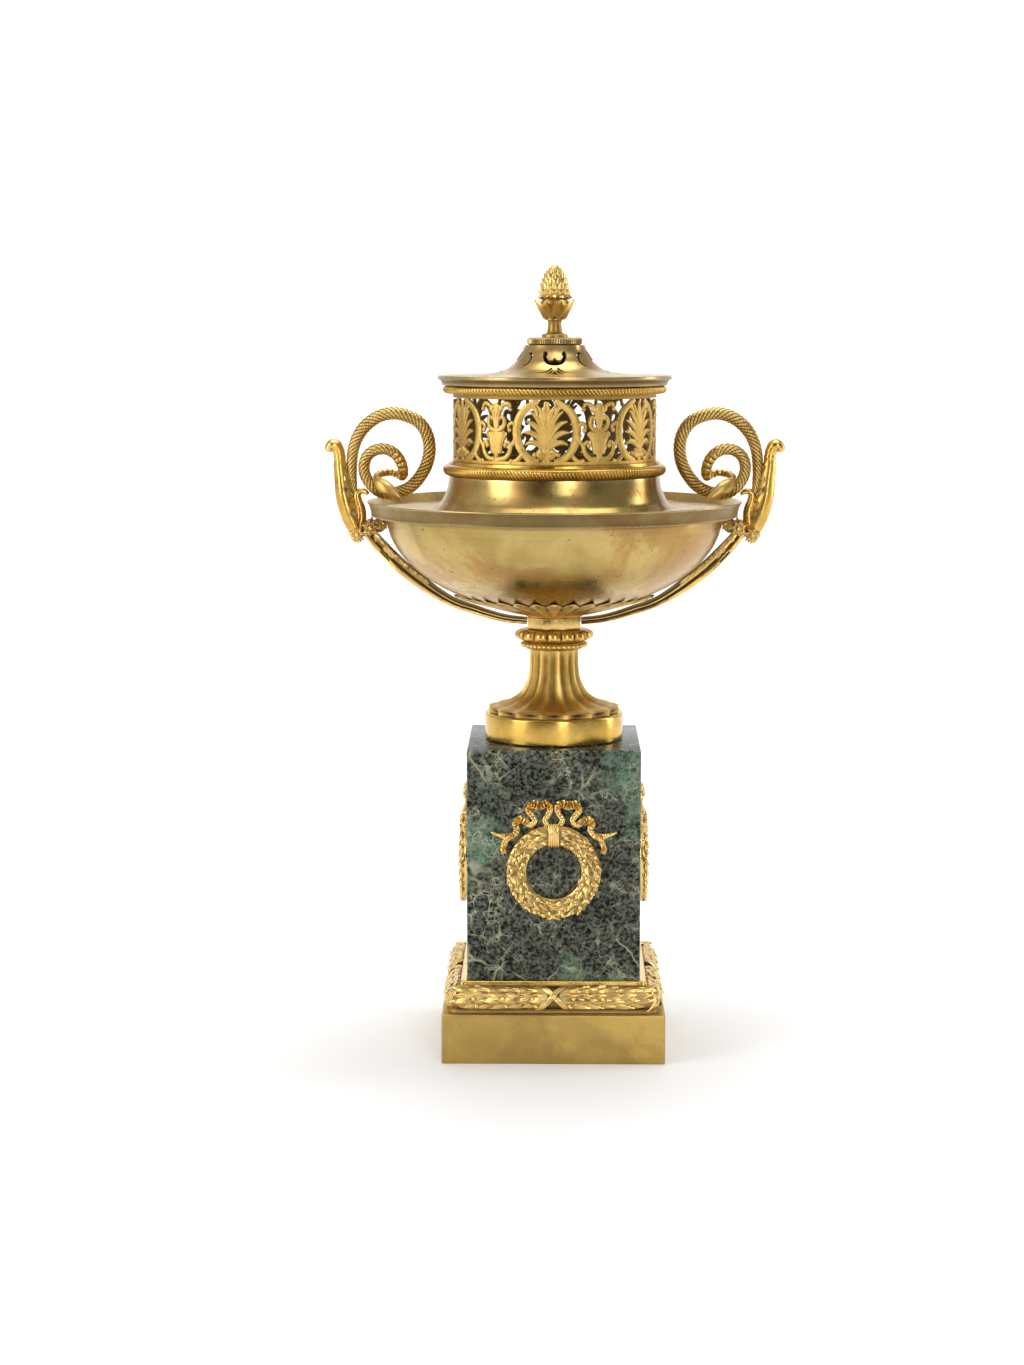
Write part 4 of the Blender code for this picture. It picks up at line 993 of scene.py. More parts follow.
def barShape(line, depth, front=0.0):        # flat bar in the (x, z) plane with a softened face, (x, z, width) rows
    rows = smoothLine(line, max(8, len(line) * 5))
    points, shadeTones = [], []
    for k, (x, z, width) in enumerate(rows):
        dx, dz = slopeAt(rows, k)
        size = math.hypot(dx, dz) + 1e-9
        nx, nz = -dz / size, dx / size
        for share, y in ((-0.5, 0.0), (-0.5, depth - 0.35), (-0.3, depth), (0.0, depth + 0.12), (0.3, depth),
                         (0.5, depth - 0.35), (0.5, 0.0)):
            points.append((x + nx * width * share, y + front, z + nz * width * share))
            # painted shade: each bar dark at its back, a little darker on its sides
            shadeTones.append(0.35 if y == 0 else (1.0 if y >= depth else 0.8))
    faces = gridFaces(len(rows), 7, True)
    faces += endCaps(len(rows), 7)
    return Shape().add(points, faces, shadeTones)


def dotShape(x, z, radius, depth, front=0.0):
    return ball((x, depth / 2 + front, z), (radius, depth / 2 + 0.15, radius), 6, 12)


def makeGallery():
    low, high = span("gallery")
    low, high = low - 0.25, high + 0.25
    look = galleryLook
    radius, depth = look["radius"], look["wall"] - 0.1
    pitch = tau * radius / look["repeats"]
    bars, dots = [], []
    both = (1, -1)
    for s in both:
        bars.append([(s * 4.6, 4.6, 2.2), (s * 9.5, 6.4, 2.4), (s * 14.5, 11.0, 2.6), (s * 17.0, 17.5, 2.9),
                     (s * 16.8, 24.0, 2.9),
                     (s * 13.8, 29.8, 2.5), (s * 8.6, 33.6, 2.0), (s * 4.6, 35.8, 1.8)])
        bars.append([(s * 8.4, 33.4, 1.5), (s * 6.2, 31.2, 1.4), (s * 5.0, 28.6, 1.0)])
        bars.append([(s * 0.8, 11.4, 1.7), (s * 4.6, 14.0, 1.8), (s * 8.8, 14.8, 1.5), (s * 12.0, 13.6, 0.7)])
        bars.append([(s * 0.8, 13.4, 1.7), (s * 4.4, 17.4, 1.8), (s * 8.6, 19.6, 1.6), (s * 12.8, 19.8, 0.6)])
        bars.append([(s * 0.8, 15.4, 1.6), (s * 3.8, 20.6, 1.8), (s * 7.6, 24.0, 1.6), (s * 11.8, 25.4, 0.6)])
        bars.append([(s * 0.6, 17.6, 1.5), (s * 3.0, 23.6, 1.7), (s * 5.8, 27.8, 1.5), (s * 9.2, 30.4, 0.6)])
        bars.append([(s * 0.4, 20.0, 1.4), (s * 1.9, 26.6, 1.6), (s * 3.4, 30.8, 1.3), (s * 5.4, 33.6, 0.5)])
        bars.append([(0.0, 8.0, 1.6), (s * 2.8, 7.2, 1.5), (s * 4.6, 8.6, 1.2), (s * 4.4, 10.4, 1.0),
                     (s * 3.0, 10.2, 0.8)])
        dots += [(s * 3.3, 10.0, 1.15), (s * 6.6, 8.6, 1.2)]
    bars += [[(0, 4.0, 3.0), (0, 8.0, 1.8), (0, 11.0, 2.6), (0, 14.0, 2.8)],
             [(0, 13.0, 2.0), (0, 22.0, 2.0), (0, 30.0, 2.6), (0, 35.2, 1.6)],
             [(-4.6, 8.2, 1.4), (0, 8.6, 1.8), (4.6, 8.2, 1.4)]]
    dots.append((0, 10.6, 2.2))
    mid = pitch / 2
    for s in both:
        bars.append([(mid + s * 2.2, 9.2, 1.6), (mid + s * 2.8, 13.0, 1.6), (mid + s * 4.0, 17.4, 1.6),
                     (mid + s * 4.9, 19.2, 1.4)])
        bars.append([(mid + s * 0.6, 20.5, 1.5), (mid + s * 3.8, 21.6, 1.5), (mid + s * 5.6, 24.6, 1.4),
                     (mid + s * 4.4, 27.4, 1.2), (mid + s * 2.4, 27.2, 0.9)])
        bars.append([(mid + s * 0.6, 22.5, 1.2), (mid + s * 2.2, 29.8, 1.3), (mid + s * 5.2, 33.6, 1.3),
                     (mid + s * 8.6, 34.0, 1.2), (mid + s * 9.6, 31.8, 0.9)])
        bars.append([(mid + s * 1.4, 6.0, 1.6), (mid + s * 5.6, 6.6, 1.6), (mid + s * 8.8, 10.0, 1.5),
                     (mid + s * 9.2, 13.6, 1.3), (mid + s * 7.0, 15.0, 1.1), (mid + s * 5.8, 13.2, 0.9)])
        bars.append([(mid + s * 9.0, 12.0, 1.3), (mid + s * 12.4, 16.5, 1.4), (mid + s * 13.6, 20.6, 1.3)])
        bars.append([(mid + s * 13.4, 22.0, 1.2), (mid + s * 10.6, 24.4, 1.3), (mid + s * 8.2, 23.0, 1.1),
                     (mid + s * 8.8, 20.8, 0.9)])
        bars.append([(mid + s * 9.4, 4.6, 1.4), (mid + s * 13.0, 5.4, 1.5), (mid + s * 16.6, 8.8, 1.4)])
        dots += [(mid + s * 2.6, 27.0, 1.2), (mid + s * 6.2, 13.2, 1.25), (mid + s * 8.9, 20.9, 1.1),
                 (mid + s * 9.4, 31.4, 1.1),
                 (mid + s * 3.0, 31.6, 1.7), (mid + s * 5.2, 19.6, 0.9), (mid + s * 9.8, 5.2, 1.2)]
    bars += [[(mid, 4.0, 5.4), (mid, 5.6, 4.6), (mid, 6.8, 1.8), (mid, 8.6, 2.2), (mid, 10.0, 4.6), (mid, 13.4, 5.4),
              (mid, 17.4, 7.6), (mid, 18.8, 9.0), (mid, 19.8, 8.6)],
             [(mid, 19.5, 1.8), (mid, 25.0, 1.5), (mid, 30.0, 1.5)],
             [(mid, 30.0, 3.0), (mid, 32.4, 3.8), (mid, 34.4, 1.4)]]
    panel = Shape()
    for k, line in enumerate(bars):
        panel.join(barShape([(x, z, w * look["bold"]) for x, z, w in line], depth - 0.02 * (k % 5)))
    for x, z, size in dots:
        panel.join(dotShape(x, z, size * 1.25, depth + 0.3))
    panel = panel.moved(lambda x, y, z: (x, y - look["wall"], low + 35.6 - (35.6 - z) * 1.105 if z < 35.6 else low + z))
    made = runTree(toMesh("panel", panel), wrapRoundTree(),
                   {"Repeats": look["repeats"], "Pitch": pitch * mm, "Radius": radius * mm,
                                                             "Turn": math.radians(look["turn"]), "Finish": matt})
    inner = radius - look["wall"]
    made.join(turned(softCorners([(inner, low), (radius, low), (radius, low + look["band"]),
                                  (inner, low + look["band"])], 0.3), 160))
    # painted shadow: the top lip darker, where the rope ring above shades it
    made.join(turned(softCorners([(inner, high - look["lip"]), (radius, high - look["lip"]), (radius, high),
                                  (inner, high)], 0.3), 160, 0.55))
    finishPiece("pierced_gallery", made, matt, ["gallery"], 42, 0.8)


makeGallery()

lidLook = {"rim": 67.0, "bore": 56.5, "top": 17.1, "wall": 1.6, "motifs": 4}


def makeLid():
    low, high = span("lid")
    look = lidLook
    base = low + 5.1
    dome = smoothLine([(66.6, base + 0.35), (58.0, base + 0.45), (49.0, base + 0.62), (43.0, base + 0.9),
                       (36.5, base + 1.55), (31.3, base + 2.35), (27.1, base + 3.9),
                       (24.8, base + 5.7), (23.1, base + 7.4), (20.8, base + 10.8), (18.5, base + 14.2),
                       (look["top"], high)], 60)
    dome = [tuple(p) for p in dome]
    under = [(r - (0.25 if r > 30 else look["wall"]), z - look["wall"]) for r, z in dome if r < 52]
    flange = [(look["bore"], low), (64.5, low), (64.7, low + 1.4), (65.2, low + 2.3), (66.4, low + 3.2),
              (look["rim"], low + 3.6), (look["rim"], base), (66.8, base + 0.3)]
    outline = flange + dome + [(0, high), (0, high - look["wall"])] + under[::-1]
    outline.append((look["bore"], base - look["wall"]))
    shape = turned(outline, 144)
    knots = np.array(dome)

    def on(x, r, out):                       # x millimetres round from the motif's middle, at radius r, lifted by out
        k = int(np.argmin(abs(knots[:, 0] - r)))
        ahead = knots[min(k + 1, len(knots) - 1)] - knots[max(k - 1, 0)]
        normal = np.array((ahead[1], -ahead[0])) / np.linalg.norm(ahead)
        z = np.interp(r, knots[::-1, 0], knots[::-1, 1])
        rr, zz = r + normal[0] * out, z + normal[1] * out
        return rr * math.sin(x / r), -rr * math.cos(x / r), zz

    tools = []

    def cutter(outline, turn):               # closed outline of (x, r); it reaches 2.6 into the dome and 1.4 out of it
        points = []
        for out in (-2.6, 1.4):
            for x, r in outline:
                px, py, pz = on(x, r, out)
                c, s = math.cos(turn), math.sin(turn)
                points.append((px * c - py * s, px * s + py * c, pz))
        count = len(outline)
        faces = [tuple(range(count - 1, -1, -1)), tuple(range(count, 2 * count))]
        faces += [(k, (k + 1) % count, (k + 1) % count + count, k + count) for k in range(count)]
        tools.append(Shape().add(points, faces))

    moustache = [(0, 20.9), (1.2, 21.7), (2.6, 22.0), (3.8, 21.6), (4.6, 20.9), (4.7, 20.4), (4.1, 20.1), (3.9, 19.3),
                 (4.8, 18.6),
                 (6.1, 18.7), (6.9, 19.7), (6.8, 21.1), (6.0, 22.4), (4.6, 23.5), (2.6, 24.2), (0, 24.4)]
    moustache += [(-x, r) for x, r in moustache[-2:0:-1]]
    drop = [(0, 28.4), (0.4, 29.5), (0.7, 31.5), (1.3, 34.0), (1.4, 35.6), (0.8, 37.0), (0, 37.6), (-0.8, 37.0),
            (-1.4, 35.6), (-1.3, 34.0),
            (-0.7, 31.5), (-0.4, 29.5)]
    slits = [[(1.0, 25.4), (2.4, 25.8), (3.4, 27.0), (5.4, 29.4), (8.6, 31.2), (11.2, 31.4), (11.0, 32.2), (8.2, 32.8),
              (4.6, 30.8), (2.6, 28.2),
              (1.5, 26.6)], [(1.0, 27.0), (2.4, 29.0), (3.8, 32.4), (5.6, 36.0), (4.2, 36.2), (2.6, 33.6), (1.4, 30.2)]]
    crescent = [(-3.0 * math.cos(a), 21.8 + 2.9 * math.sin(a)) for a in np.linspace(-2.1, 2.1, 13)]
    crescent += [(0.95 - 2.5 * math.cos(a), 21.8 + 2.25 * math.sin(a)) for a in np.linspace(1.8, -1.8, 11)]
    for motif in range(look["motifs"]):
        turn = tau * motif / look["motifs"]
        if motif != 2:                       # the back one would show daylight through the front one
            cutter(moustache, turn)
        cutter(drop, turn)
        for slit in slits:
            cutter(slit, turn)
            cutter([(-x, r) for x, r in slit[::-1]], turn)
        cutter(crescent if motif in (0, 2) else [(-x, r) for x, r in crescent[::-1]], turn + math.pi / 4)
    joined = Shape()
    for tool in tools:
        joined.join(tool)

    def benched(name, made, isTool):         # an object ready for the cut, its faces outwards
        item = placed(name, toMesh(name, made))
        bm = bmesh.new()
        bm.from_mesh(item.data)
        if isTool:
            bmesh.ops.triangulate(bm, faces=bm.faces[:])
        else:
            bmesh.ops.remove_doubles(bm, verts=bm.verts, dist=mergeGap)
        bmesh.ops.recalc_face_normals(bm, faces=bm.faces)
        bm.to_mesh(item.data)
        bm.free()
        return item

    holder, knife = benched("lidBench", shape, False), benched("lidKnife", joined, True)
    modifier = holder.modifiers.new("pierce", "BOOLEAN")
    modifier.object, modifier.operation, modifier.solver = knife, "DIFFERENCE", "MANIFOLD"
    made = bpy.data.meshes.new_from_object(holder.evaluated_get(bpy.context.evaluated_depsgraph_get()))
    pierced = fromMesh(made)
    for item in (holder, knife):
        bpy.data.objects.remove(item)
    print("lid pierced:", len(shape.faces), "faces before,", len(pierced.faces), "after")
    for k, (x, y, z) in enumerate(pierced.points):          # painted shade: the hollow moulding under the brim is darkened, and the flange's cavetto too
        r = math.hypot(x, y)
        sunk = r < 58 and z < np.interp(r, knots[::-1, 0], knots[::-1, 1]) - 0.8
        pierced.shadeTones[k] = 0.1 if sunk else 0.45 if z < base - 0.9 and r > 60 else 1.0
    finishPiece("pierced_lid", pierced, brass, ["lid"], 30)


makeLid()

finialLook = {"cup": 11.1, "leaves": 8, "scaleRows": 9}


def makeFinial():
    low, high = span("finial")
    low -= 0.25                              # stands on the collar without a see-through gap
    cup, tall = finialLook["cup"], high - low
    stem = smoothLine([(0.67, 0.0), (0.68, 0.02), (0.66, 0.035), (0.5, 0.05), (0.40, 0.075), (0.36, 0.13),
                       (0.34, 0.19), (0.38, 0.235), (0.52, 0.25), (0.50, 0.27)], 40)
    bowl = smoothLine([(0.50, 0.27), (0.62, 0.30), (0.70, 0.36), (0.72, 0.43), (0.70, 0.50), (0.66, 0.52),
                       (0.60, 0.53)], 24)
    cone = smoothLine([(0.60, 0.53), (0.72, 0.58), (0.72, 0.64), (0.64, 0.72), (0.52, 0.82), (0.36, 0.91),
                       (0.18, 0.97), (0.0, 0.985)], 24)
    outline = [(0, low)] + [(u * cup, low + v * tall) for u, v in np.vstack([stem, bowl[1:], cone[1:]])]
    outline[-1] = (0.0, outline[-1][1])
    # painted shade: the turned core under the leaves and scales darker
    shape = turned(outline, 48, 0.55)
    leaf = leafShape(11.6, 8.6, 1.3, 3.6, 0.6, 8, 1.25, 0.8)
    leaves = []
    for k in range(finialLook["leaves"]):
        out = outward(tau * (k + 0.5) / finialLook["leaves"])
        leaves.append((out * 6.0 + Vector((0, 0, low + 0.262 * tall)), Vector((0, 0, 1)) + out * 0.22, out, 1.0))
    shape.join(setOut(leaf, leaves, gilt, 0.03, 0.02, 31))
    scale = Shape()
    grid = []
    for layer in (0, 1):
        for t in (0.0, 0.35, 0.7, 1.0):
            wide = (0.75, 1.0, 0.92, 0.35)[int(t * 3 + 0.01)] if t < 1 else 0.35
            for s in (-1, -0.5, 0, 0.5, 1):
                grid.append((s * wide * 1.75, t * 3.4 - 0.9, (0.35 + 1.35 * t - 0.5 * s * s) if layer == 0 else -0.5))
    # painted shade: each scale's back dark
    scale.add(grid, slabFaces(4, 5), [1.0] * 20 + [0.3] * 20)
    places = []
    coneRows = np.array([(u * cup, low + v * tall) for u, v in cone])
    for row in range(finialLook["scaleRows"]):
        share = (row + 0.3) / finialLook["scaleRows"]
        at = share * (len(coneRows) - 2)
        k = int(at)
        r, z = coneRows[k] * (1 - at + k) + coneRows[k + 1] * (at - k)
        rise = coneRows[k + 1] - coneRows[k]
        count = max(4, int(tau * r / 3.3))
        for c in range(count):
            a = tau * (c + 0.5 * (row % 2)) / count
            out = outward(a)
            along = out * rise[0] + Vector((0, 0, rise[1]))
            face = (out * rise[1] - Vector((0, 0, rise[0]))).normalized()
            places.append((out * r + Vector((0, 0, z)), along + face * 0.05, face, max(0.5, min(1.0, r / 6.0))))
    shape.join(setOut(scale, places, gilt, 0.05, 0.06, 32))
    finishPiece("pinecone_finial", shape, gilt, ["finial"], 45, 1.4)


makeFinial()

handleLook = {"rim": 316.0, "root": 242.3, "rings": 84, "sides": 30, "hole": (93.6, 98.4), "leaf": 6.4}
strapRows = [(15.5, 4.4, 2.1, 4.0), (27.5, 5.7, 2.2, 4.4), (37, 8.0, 2.4, 4.8), (46.2, 11.0, 2.6, 5.2),
             (57, 14.6, 2.7, 5.6),
             (66.5, 19.8, 3.2, 5.6), (77, 27.2, 4.0, 5.6), (87, 35.1, 4.2, 5.6), (95.2, 43.1, 4.2, 5.6),
             (102.4, 50.8, 3.9, 5.2),
             (107, 56.4, 3.5, 4.6)]
hornRows = [(112.5, 0, -20, 3.9, 3.8), (115.2, 0, -14.5, 4.9, 4.6), (118.6, 0, -6, 5.3, 5.2), (121.0, 0, 3, 5.0, 5.2),
            (122.3, 0, 13, 4.4, 4.7), (123.4, 0, 22, 3.8, 4.1), (124.0, 0, 27.6, 3.5, 4.0), (125.4, 0, 31.0, 3.7, 4.6),
            (127.4, 0, 31.9, 3.6, 4.9), (129.2, 0, 30.8, 2.9, 4.6), (129.8, 0, 28.2, 2.1, 3.6)]
curlRows = [(112.8, 0, -15.5, 3.4, 3.6), (111.6, 0, -10, 3.2, 3.4), (111.9, 0, -5, 3.0, 3.2), (113.4, 0, 0, 2.7, 3.0),
            (113.6, 0, 3.6, 2.3, 2.7), (111.4, 0, 5.4, 1.9, 2.4), (108.6, 0, 4.8, 1.5, 2.1), (107.2, 0, 3.4, 1.0, 1.6)]


def strapPiece(rows, start, end, fine):      # reeded band, its faces left bright, its reed grooves and edges darkened with painted shade
    side = [(-1.0, 0.0, 1.0), (-0.78, 0.3, 0.8), (-0.72, 0.60, 0.45), (-0.98, 0.72, 1.0), (-1.0, 0.88, 1.0),
            (-0.72, 1.0, 1.0),
            (-0.45, 0.98, 1.0), (-0.34, 0.88, 0.12), (-0.06, 0.88, 0.12), (0.04, 0.97, 1.0), (0.24, 0.97, 1.0),
            (0.34, 0.86, 0.1),
            (0.75, 0.78, 0.1)]
    section = [(u, -v, tone) for u, v, tone in side[::-1]] + side[1:]
    path = [row for row in smoothLine(rows, fine) if start <= row[0] <= end]
    points, shadeTones = [], []
    for k, (x, z, thick, half) in enumerate(path):
        dx, dz = slopeAt(path, k)
        size = math.hypot(dx, dz)
        for u, v, tone in section:
            points.append((x - dz / size * thick * u, half * v, handleLook["root"] + z + dx / size * thick * u))
            shadeTones.append(tone)
    faces = gridFaces(len(path), len(section), True)
    faces += endCaps(len(path), len(section))
    return Shape().add(points, faces, shadeTones)


def flowerPlaces(centre, face, size, petals=7):
    face = Vector(face).normalized()
    side = face.cross(Vector((0.13, 0.2, 0.97))).normalized()
    other = face.cross(side)
    places = []
    for k in range(petals):
        out = side * math.cos(tau * k / petals) + other * math.sin(tau * k / petals)
        places.append((Vector(centre) + out * size * 0.12, out - face * 0.10, face + out * 0.2,
                       (size / 6, size / 6, size / 6)))
    return places


def handleShape():
    look, top = handleLook, handleLook["rim"]
    first, last = look["hole"]
    shape = strapPiece(strapRows, 0, first, 110)
    shape.join(strapPiece(strapRows, last, 120, 110))
    for centre, thick in ((-0.58, 0.42), (0.60, 0.16)):     # two thin bars either side of the opening
        offset = []
        for k, (x, z, deep, half) in enumerate(strapRows[7:10]):
            dx, dz = strapRows[8 + k][0] - strapRows[6 + k][0], strapRows[8 + k][1] - strapRows[6 + k][1]
            size = math.hypot(dx, dz)
            offset.append((x - dz / size * deep * centre, z + dx / size * deep * centre, deep * thick, half * 0.98))
        shape.join(strapPiece(offset, first - 3, last + 3, 24))
    path = smoothLine(hornRows, look["rings"])
    lastRing = look["rings"] - 1

    def hornSection(a, row, index):
        share = index / lastRing
        flute = 1 + 0.035 * math.cos(5 * a + 0.6) * (share < 0.74)
        notch = abs(math.sin(share * 26.0)) ** 3 * 0.20 if 0.12 < share < 0.70 else 0.0
        inner = max(0.0, -math.cos(a)) ** 3
        cap = 1 - 0.07 * math.exp(-((share - 0.80) / 0.012) ** 2) - 0.07 * math.exp(-((share - 0.86) / 0.012) ** 2)
        neck = 1 - 0.12 * math.exp(-((share - 0.745) / 0.02) ** 2)
        size = flute * cap * neck * (1 - notch * inner)
        return row[3] * math.cos(a) * size, row[4] * math.sin(a) * size

    lifted = [(x, y, z + top, r, w) for x, y, z, r, w in path]
    horn = tubeAlong(lifted, look["sides"], hornSection)
    # painted shade: the notches on the horn's inner side darker, the eyelets near black
    for k, (x, y, z) in enumerate(horn.points):
        share, a = k // look["sides"] / lastRing, (k % look["sides"]) * tau / look["sides"]
        deep = abs(math.sin(share * 26.0)) ** 3 if 0.12 < share < 0.70 else 0.0
        horn.shadeTones[k] = 1.0 - 0.75 * deep * max(0.0, -math.cos(a)) ** 2
        eyelet = min(abs(share - 0.22) * 14, abs(share - 0.47) * 16) + abs(abs(a - math.pi) - 1.15) * 2.2
        horn.shadeTones[k] = min(horn.shadeTones[k], max(0.05, eyelet - 0.35))
    shape.join(horn)
    shape.join(ball((129.4, 0, top + 30.2), (2.9, 5.0, 2.7), 8, 16))
    curl = [(x, y, z + top, r, w) for x, y, z, r, w in smoothLine(curlRows, 40)]
    shape.join(tubeAlong(curl, 16, oval))
    # painted shade: the bosses under the rosettes darker
    shape.join(ball((101.2, 0, 301.6), (4.2, 4.4, 4.2), 8, 14, 0.3))
    shape.join(ball((106.2, 0, 300.2), (4.6, 8.6, 5.2), 8, 16, 0.4))
    shape.join(ball((113.2, 0, 297.0), (3.4, 5.2, 4.2), 8, 16, 0.5))
    petal = leafShape(4.8, 5.4, 1.5, -0.5, -0.6, 6, 0.24, 0.8)
    places, hearts = [], []
    for centre, face, size in (((105.6, -8.2, 300.6), (-0.2, -1, 0.15), 6.0),
                               ((105.6, 8.2, 300.6), (-0.2, 1, 0.15), 6.0),
                               ((113.4, -4.6, 296.6), (0.3, -1, 0.0), 5.8), ((113.4, 4.6, 296.6), (0.3, 1, 0.0), 5.8),
                               ((116.6, 0, 296.2), (1, 0, -0.2), 5.4), ((98.6, -3.6, 303.0), (-0.5, -1, 0.1), 4.4),
                               ((98.6, 3.6, 303.0), (-0.5, 1, 0.1), 4.4)):
        places += flowerPlaces(centre, face, size)
        hearts.append((Vector(centre) + Vector(face).normalized() * 0.6, (0, 0, 1), face, size / 5.0))
    shape.join(setOut(petal, places, gilt, 0.08, 0.08, 41))
    shape.join(setOut(ball((0, 0, 0), 1.45, 6, 10), hearts, gilt))
    leaves = []
    rows = smoothLine(strapRows, 60)
    for k in range(34, 55, 2):               # carved leaves along the sides, towards the bowl
        x, z, thick, half = rows[k]
        along = Vector((rows[k + 1][0] - x, 0, rows[k + 1][1] - z)).normalized()
        up = Vector((-along.z, 0, along.x))
        for way in (1, -1):
            place = Vector((x, way * half * 0.84, look["root"] + z)) + up * thick * 0.1
            leaves.append((place, along * 1.0 + up * 0.3, Vector((0, way, 0)) - up * 0.15, (0.85, 1.0, 0.55)))
    for k in range(10, 52, 6):               # carved leaves on both faces of the horn, from its inner edge
        x, y, z, r, w = lifted[k]
        along = (Vector(lifted[k + 2][:3]) - Vector((x, y, z))).normalized()
        inwards = Vector((-along.z, 0, along.x))
        for way in (1, -1):
            place = Vector((x, way * w * 0.62, z)) + inwards * r * 0.72
            leaves.append((place, along * 1.0 - inwards * 0.35, Vector((0, way, 0)) + inwards * 0.9, (0.95, 1.15, 0.8)))
    shape.join(setOut(leafShape(look["leaf"], 4.4, 0.7, 0.5, 0.4, 4, 0.6, 0.5), leaves, gilt, 0.06, 0.1, 42))
    return shape


def makeHandles():
    shape = handleShape()
    finishPiece("scroll_bracket_right", shape, gilt, ["handle_right"], 45, 1.4)
    mirrored = shape.moved(lambda x, y, z: (-x, y, z))
    finishPiece("scroll_bracket_left", mirrored, gilt, ["handle_left"], 45, 1.4)


makeHandles()


def scaleTree():                             # raises lozenge scales on a tube marked with its length and turn
    inputs = [("Pitch", "Float"), ("Rows Round", "Float"), ("Depth", "Float"), ("Finish", "Material")]
    tree, t, given = newTree("serpentScales", "Tube", inputs, "Serpent")

    def mark(label):
        return t.add("GeometryNodeInputNamedAttribute", {"data_type": "FLOAT"}, {"Name": label})

    along = mark("along") / given.of("Pitch")
    about = mark("about") * given.of("Rows Round")
    bands, girth = mark("bands"), mark("girth")
    first = ((along + about) * math.pi).maths("SINE").maths("ABSOLUTE").maths("POWER", 0.7)
    second = ((along - about) * math.pi).maths("SINE").maths("ABSOLUTE").maths("POWER", 0.7)
    lozenge = first.maths("MINIMUM", second * 0.6 + 0.45)
    belt = (along * math.pi * 0.8).maths("SINE").maths("ABSOLUTE").maths("POWER", 0.6)
    rise = (lozenge * (1 - bands) + belt * bands - 1) * given.of("Depth") * girth
    normal = t.add("GeometryNodeInputNormal")
    push = t.add("ShaderNodeVectorMath", {"operation": "SCALE"}, {0: normal, "Scale": rise})
    made = t.add("GeometryNodeSetPosition", {}, {"Geometry": given, "Offset": push})
    # painted shade: the valleys between scales darker, the crests bright
    tone = t.add("GeometryNodeStoreNamedAttribute", {"data_type": "FLOAT", "domain": "POINT"},
                 {"Geometry": made, "Name": "tone", "Value": ((rise / given.of("Depth") / girth) * 0.9 + 1.1).clip()})
    ended(t, given, tone, "Serpent")
    return tree


serpentLines = {"thick": 3.5, "pitch": 2.6, "round": 8, "depth": 0.6, "sides": 48, "rows": 900, "headRows": 60,
                "headSides": 32}
serpentRows = [(115.0, 0, 3.5, .40), (115.8, 0, 9, .62), (116.4, 0, 13.5, .74), (116.6, 0, 20, .84),
               (115.9, 0, 28, .9), (113.5, 0, 35.6, .95),
               (109.6, 0, 41.6, 1), (104.4, 0, 46.1, 1), (98.2, 0, 49.1, 1), (91.6, 0, 49.9, 1), (84.6, 0, 48.4, 1),
               (78.1, .3, 45, 1),
               (73.6, .6, 38.7, 1), (71.9, 1.2, 30.7, 1), (73.1, 2, 22.1, 1), (77.2, 3.2, 14, 1), (83, 4.2, 7.7, 1),
               (89.9, 4, 4.4, 1),
               (96.4, 2, 3.7, .97), (101.4, -.6, 5.4, .93), (105.6, -2.2, 9.2, .9), (108.6, -3.2, 14.6, .9),
               (109.2, -4, 20.6, .9),
               (106.9, -4.4, 26.2, .9), (102.4, -4.6, 29.2, .9), (97.3, -4.6, 29.7, .9), (91.8, -4.4, 27.2, .9),
               (88.2, -3.8, 22.4, .88),
               (86.9, -2.6, 17.4, .82), (87.4, .6, 14, .72), (89.6, 4.4, 14.2, .64), (93.4, 6.4, 15.6, .6),
               (98, 6.2, 15.4, .58),
               (101.2, 3, 14.6, .58), (102.2, -1.2, 13.4, .6)]
headRows = [(102.2, -4.6, 11.8, 2.4, 2.2), (99.8, -8.2, 9.8, 3.7, 2.6), (96.2, -10.4, 7.4, 4.1, 2.7),
            (92.2, -11.8, 4.6, 3.2, 2.2),
            (88.6, -12.6, 2.2, 2, 1.5), (87.2, -12.9, 1.0, 1, .9)]


def scaled(shape, rows, sides, lengths, bands, girths, pitch, count, depth):
    mesh = toMesh("tube", shape)
    about = np.tile(np.arange(sides) / sides, rows)
    for label, values in (("along", np.repeat(lengths, sides) * mm), ("about", about),
                          ("bands", np.repeat(bands, sides)),
                          ("girth", np.repeat(girths, sides))):
        mesh.attributes.new(label, "FLOAT", "POINT").data.foreach_set("value", values.astype(np.float32))
    return runTree(mesh, serpentScales, {"Pitch": pitch * mm, "Rows Round": float(count), "Depth": depth * mm,
                                         "Finish": scaly})


serpentScales = scaleTree()


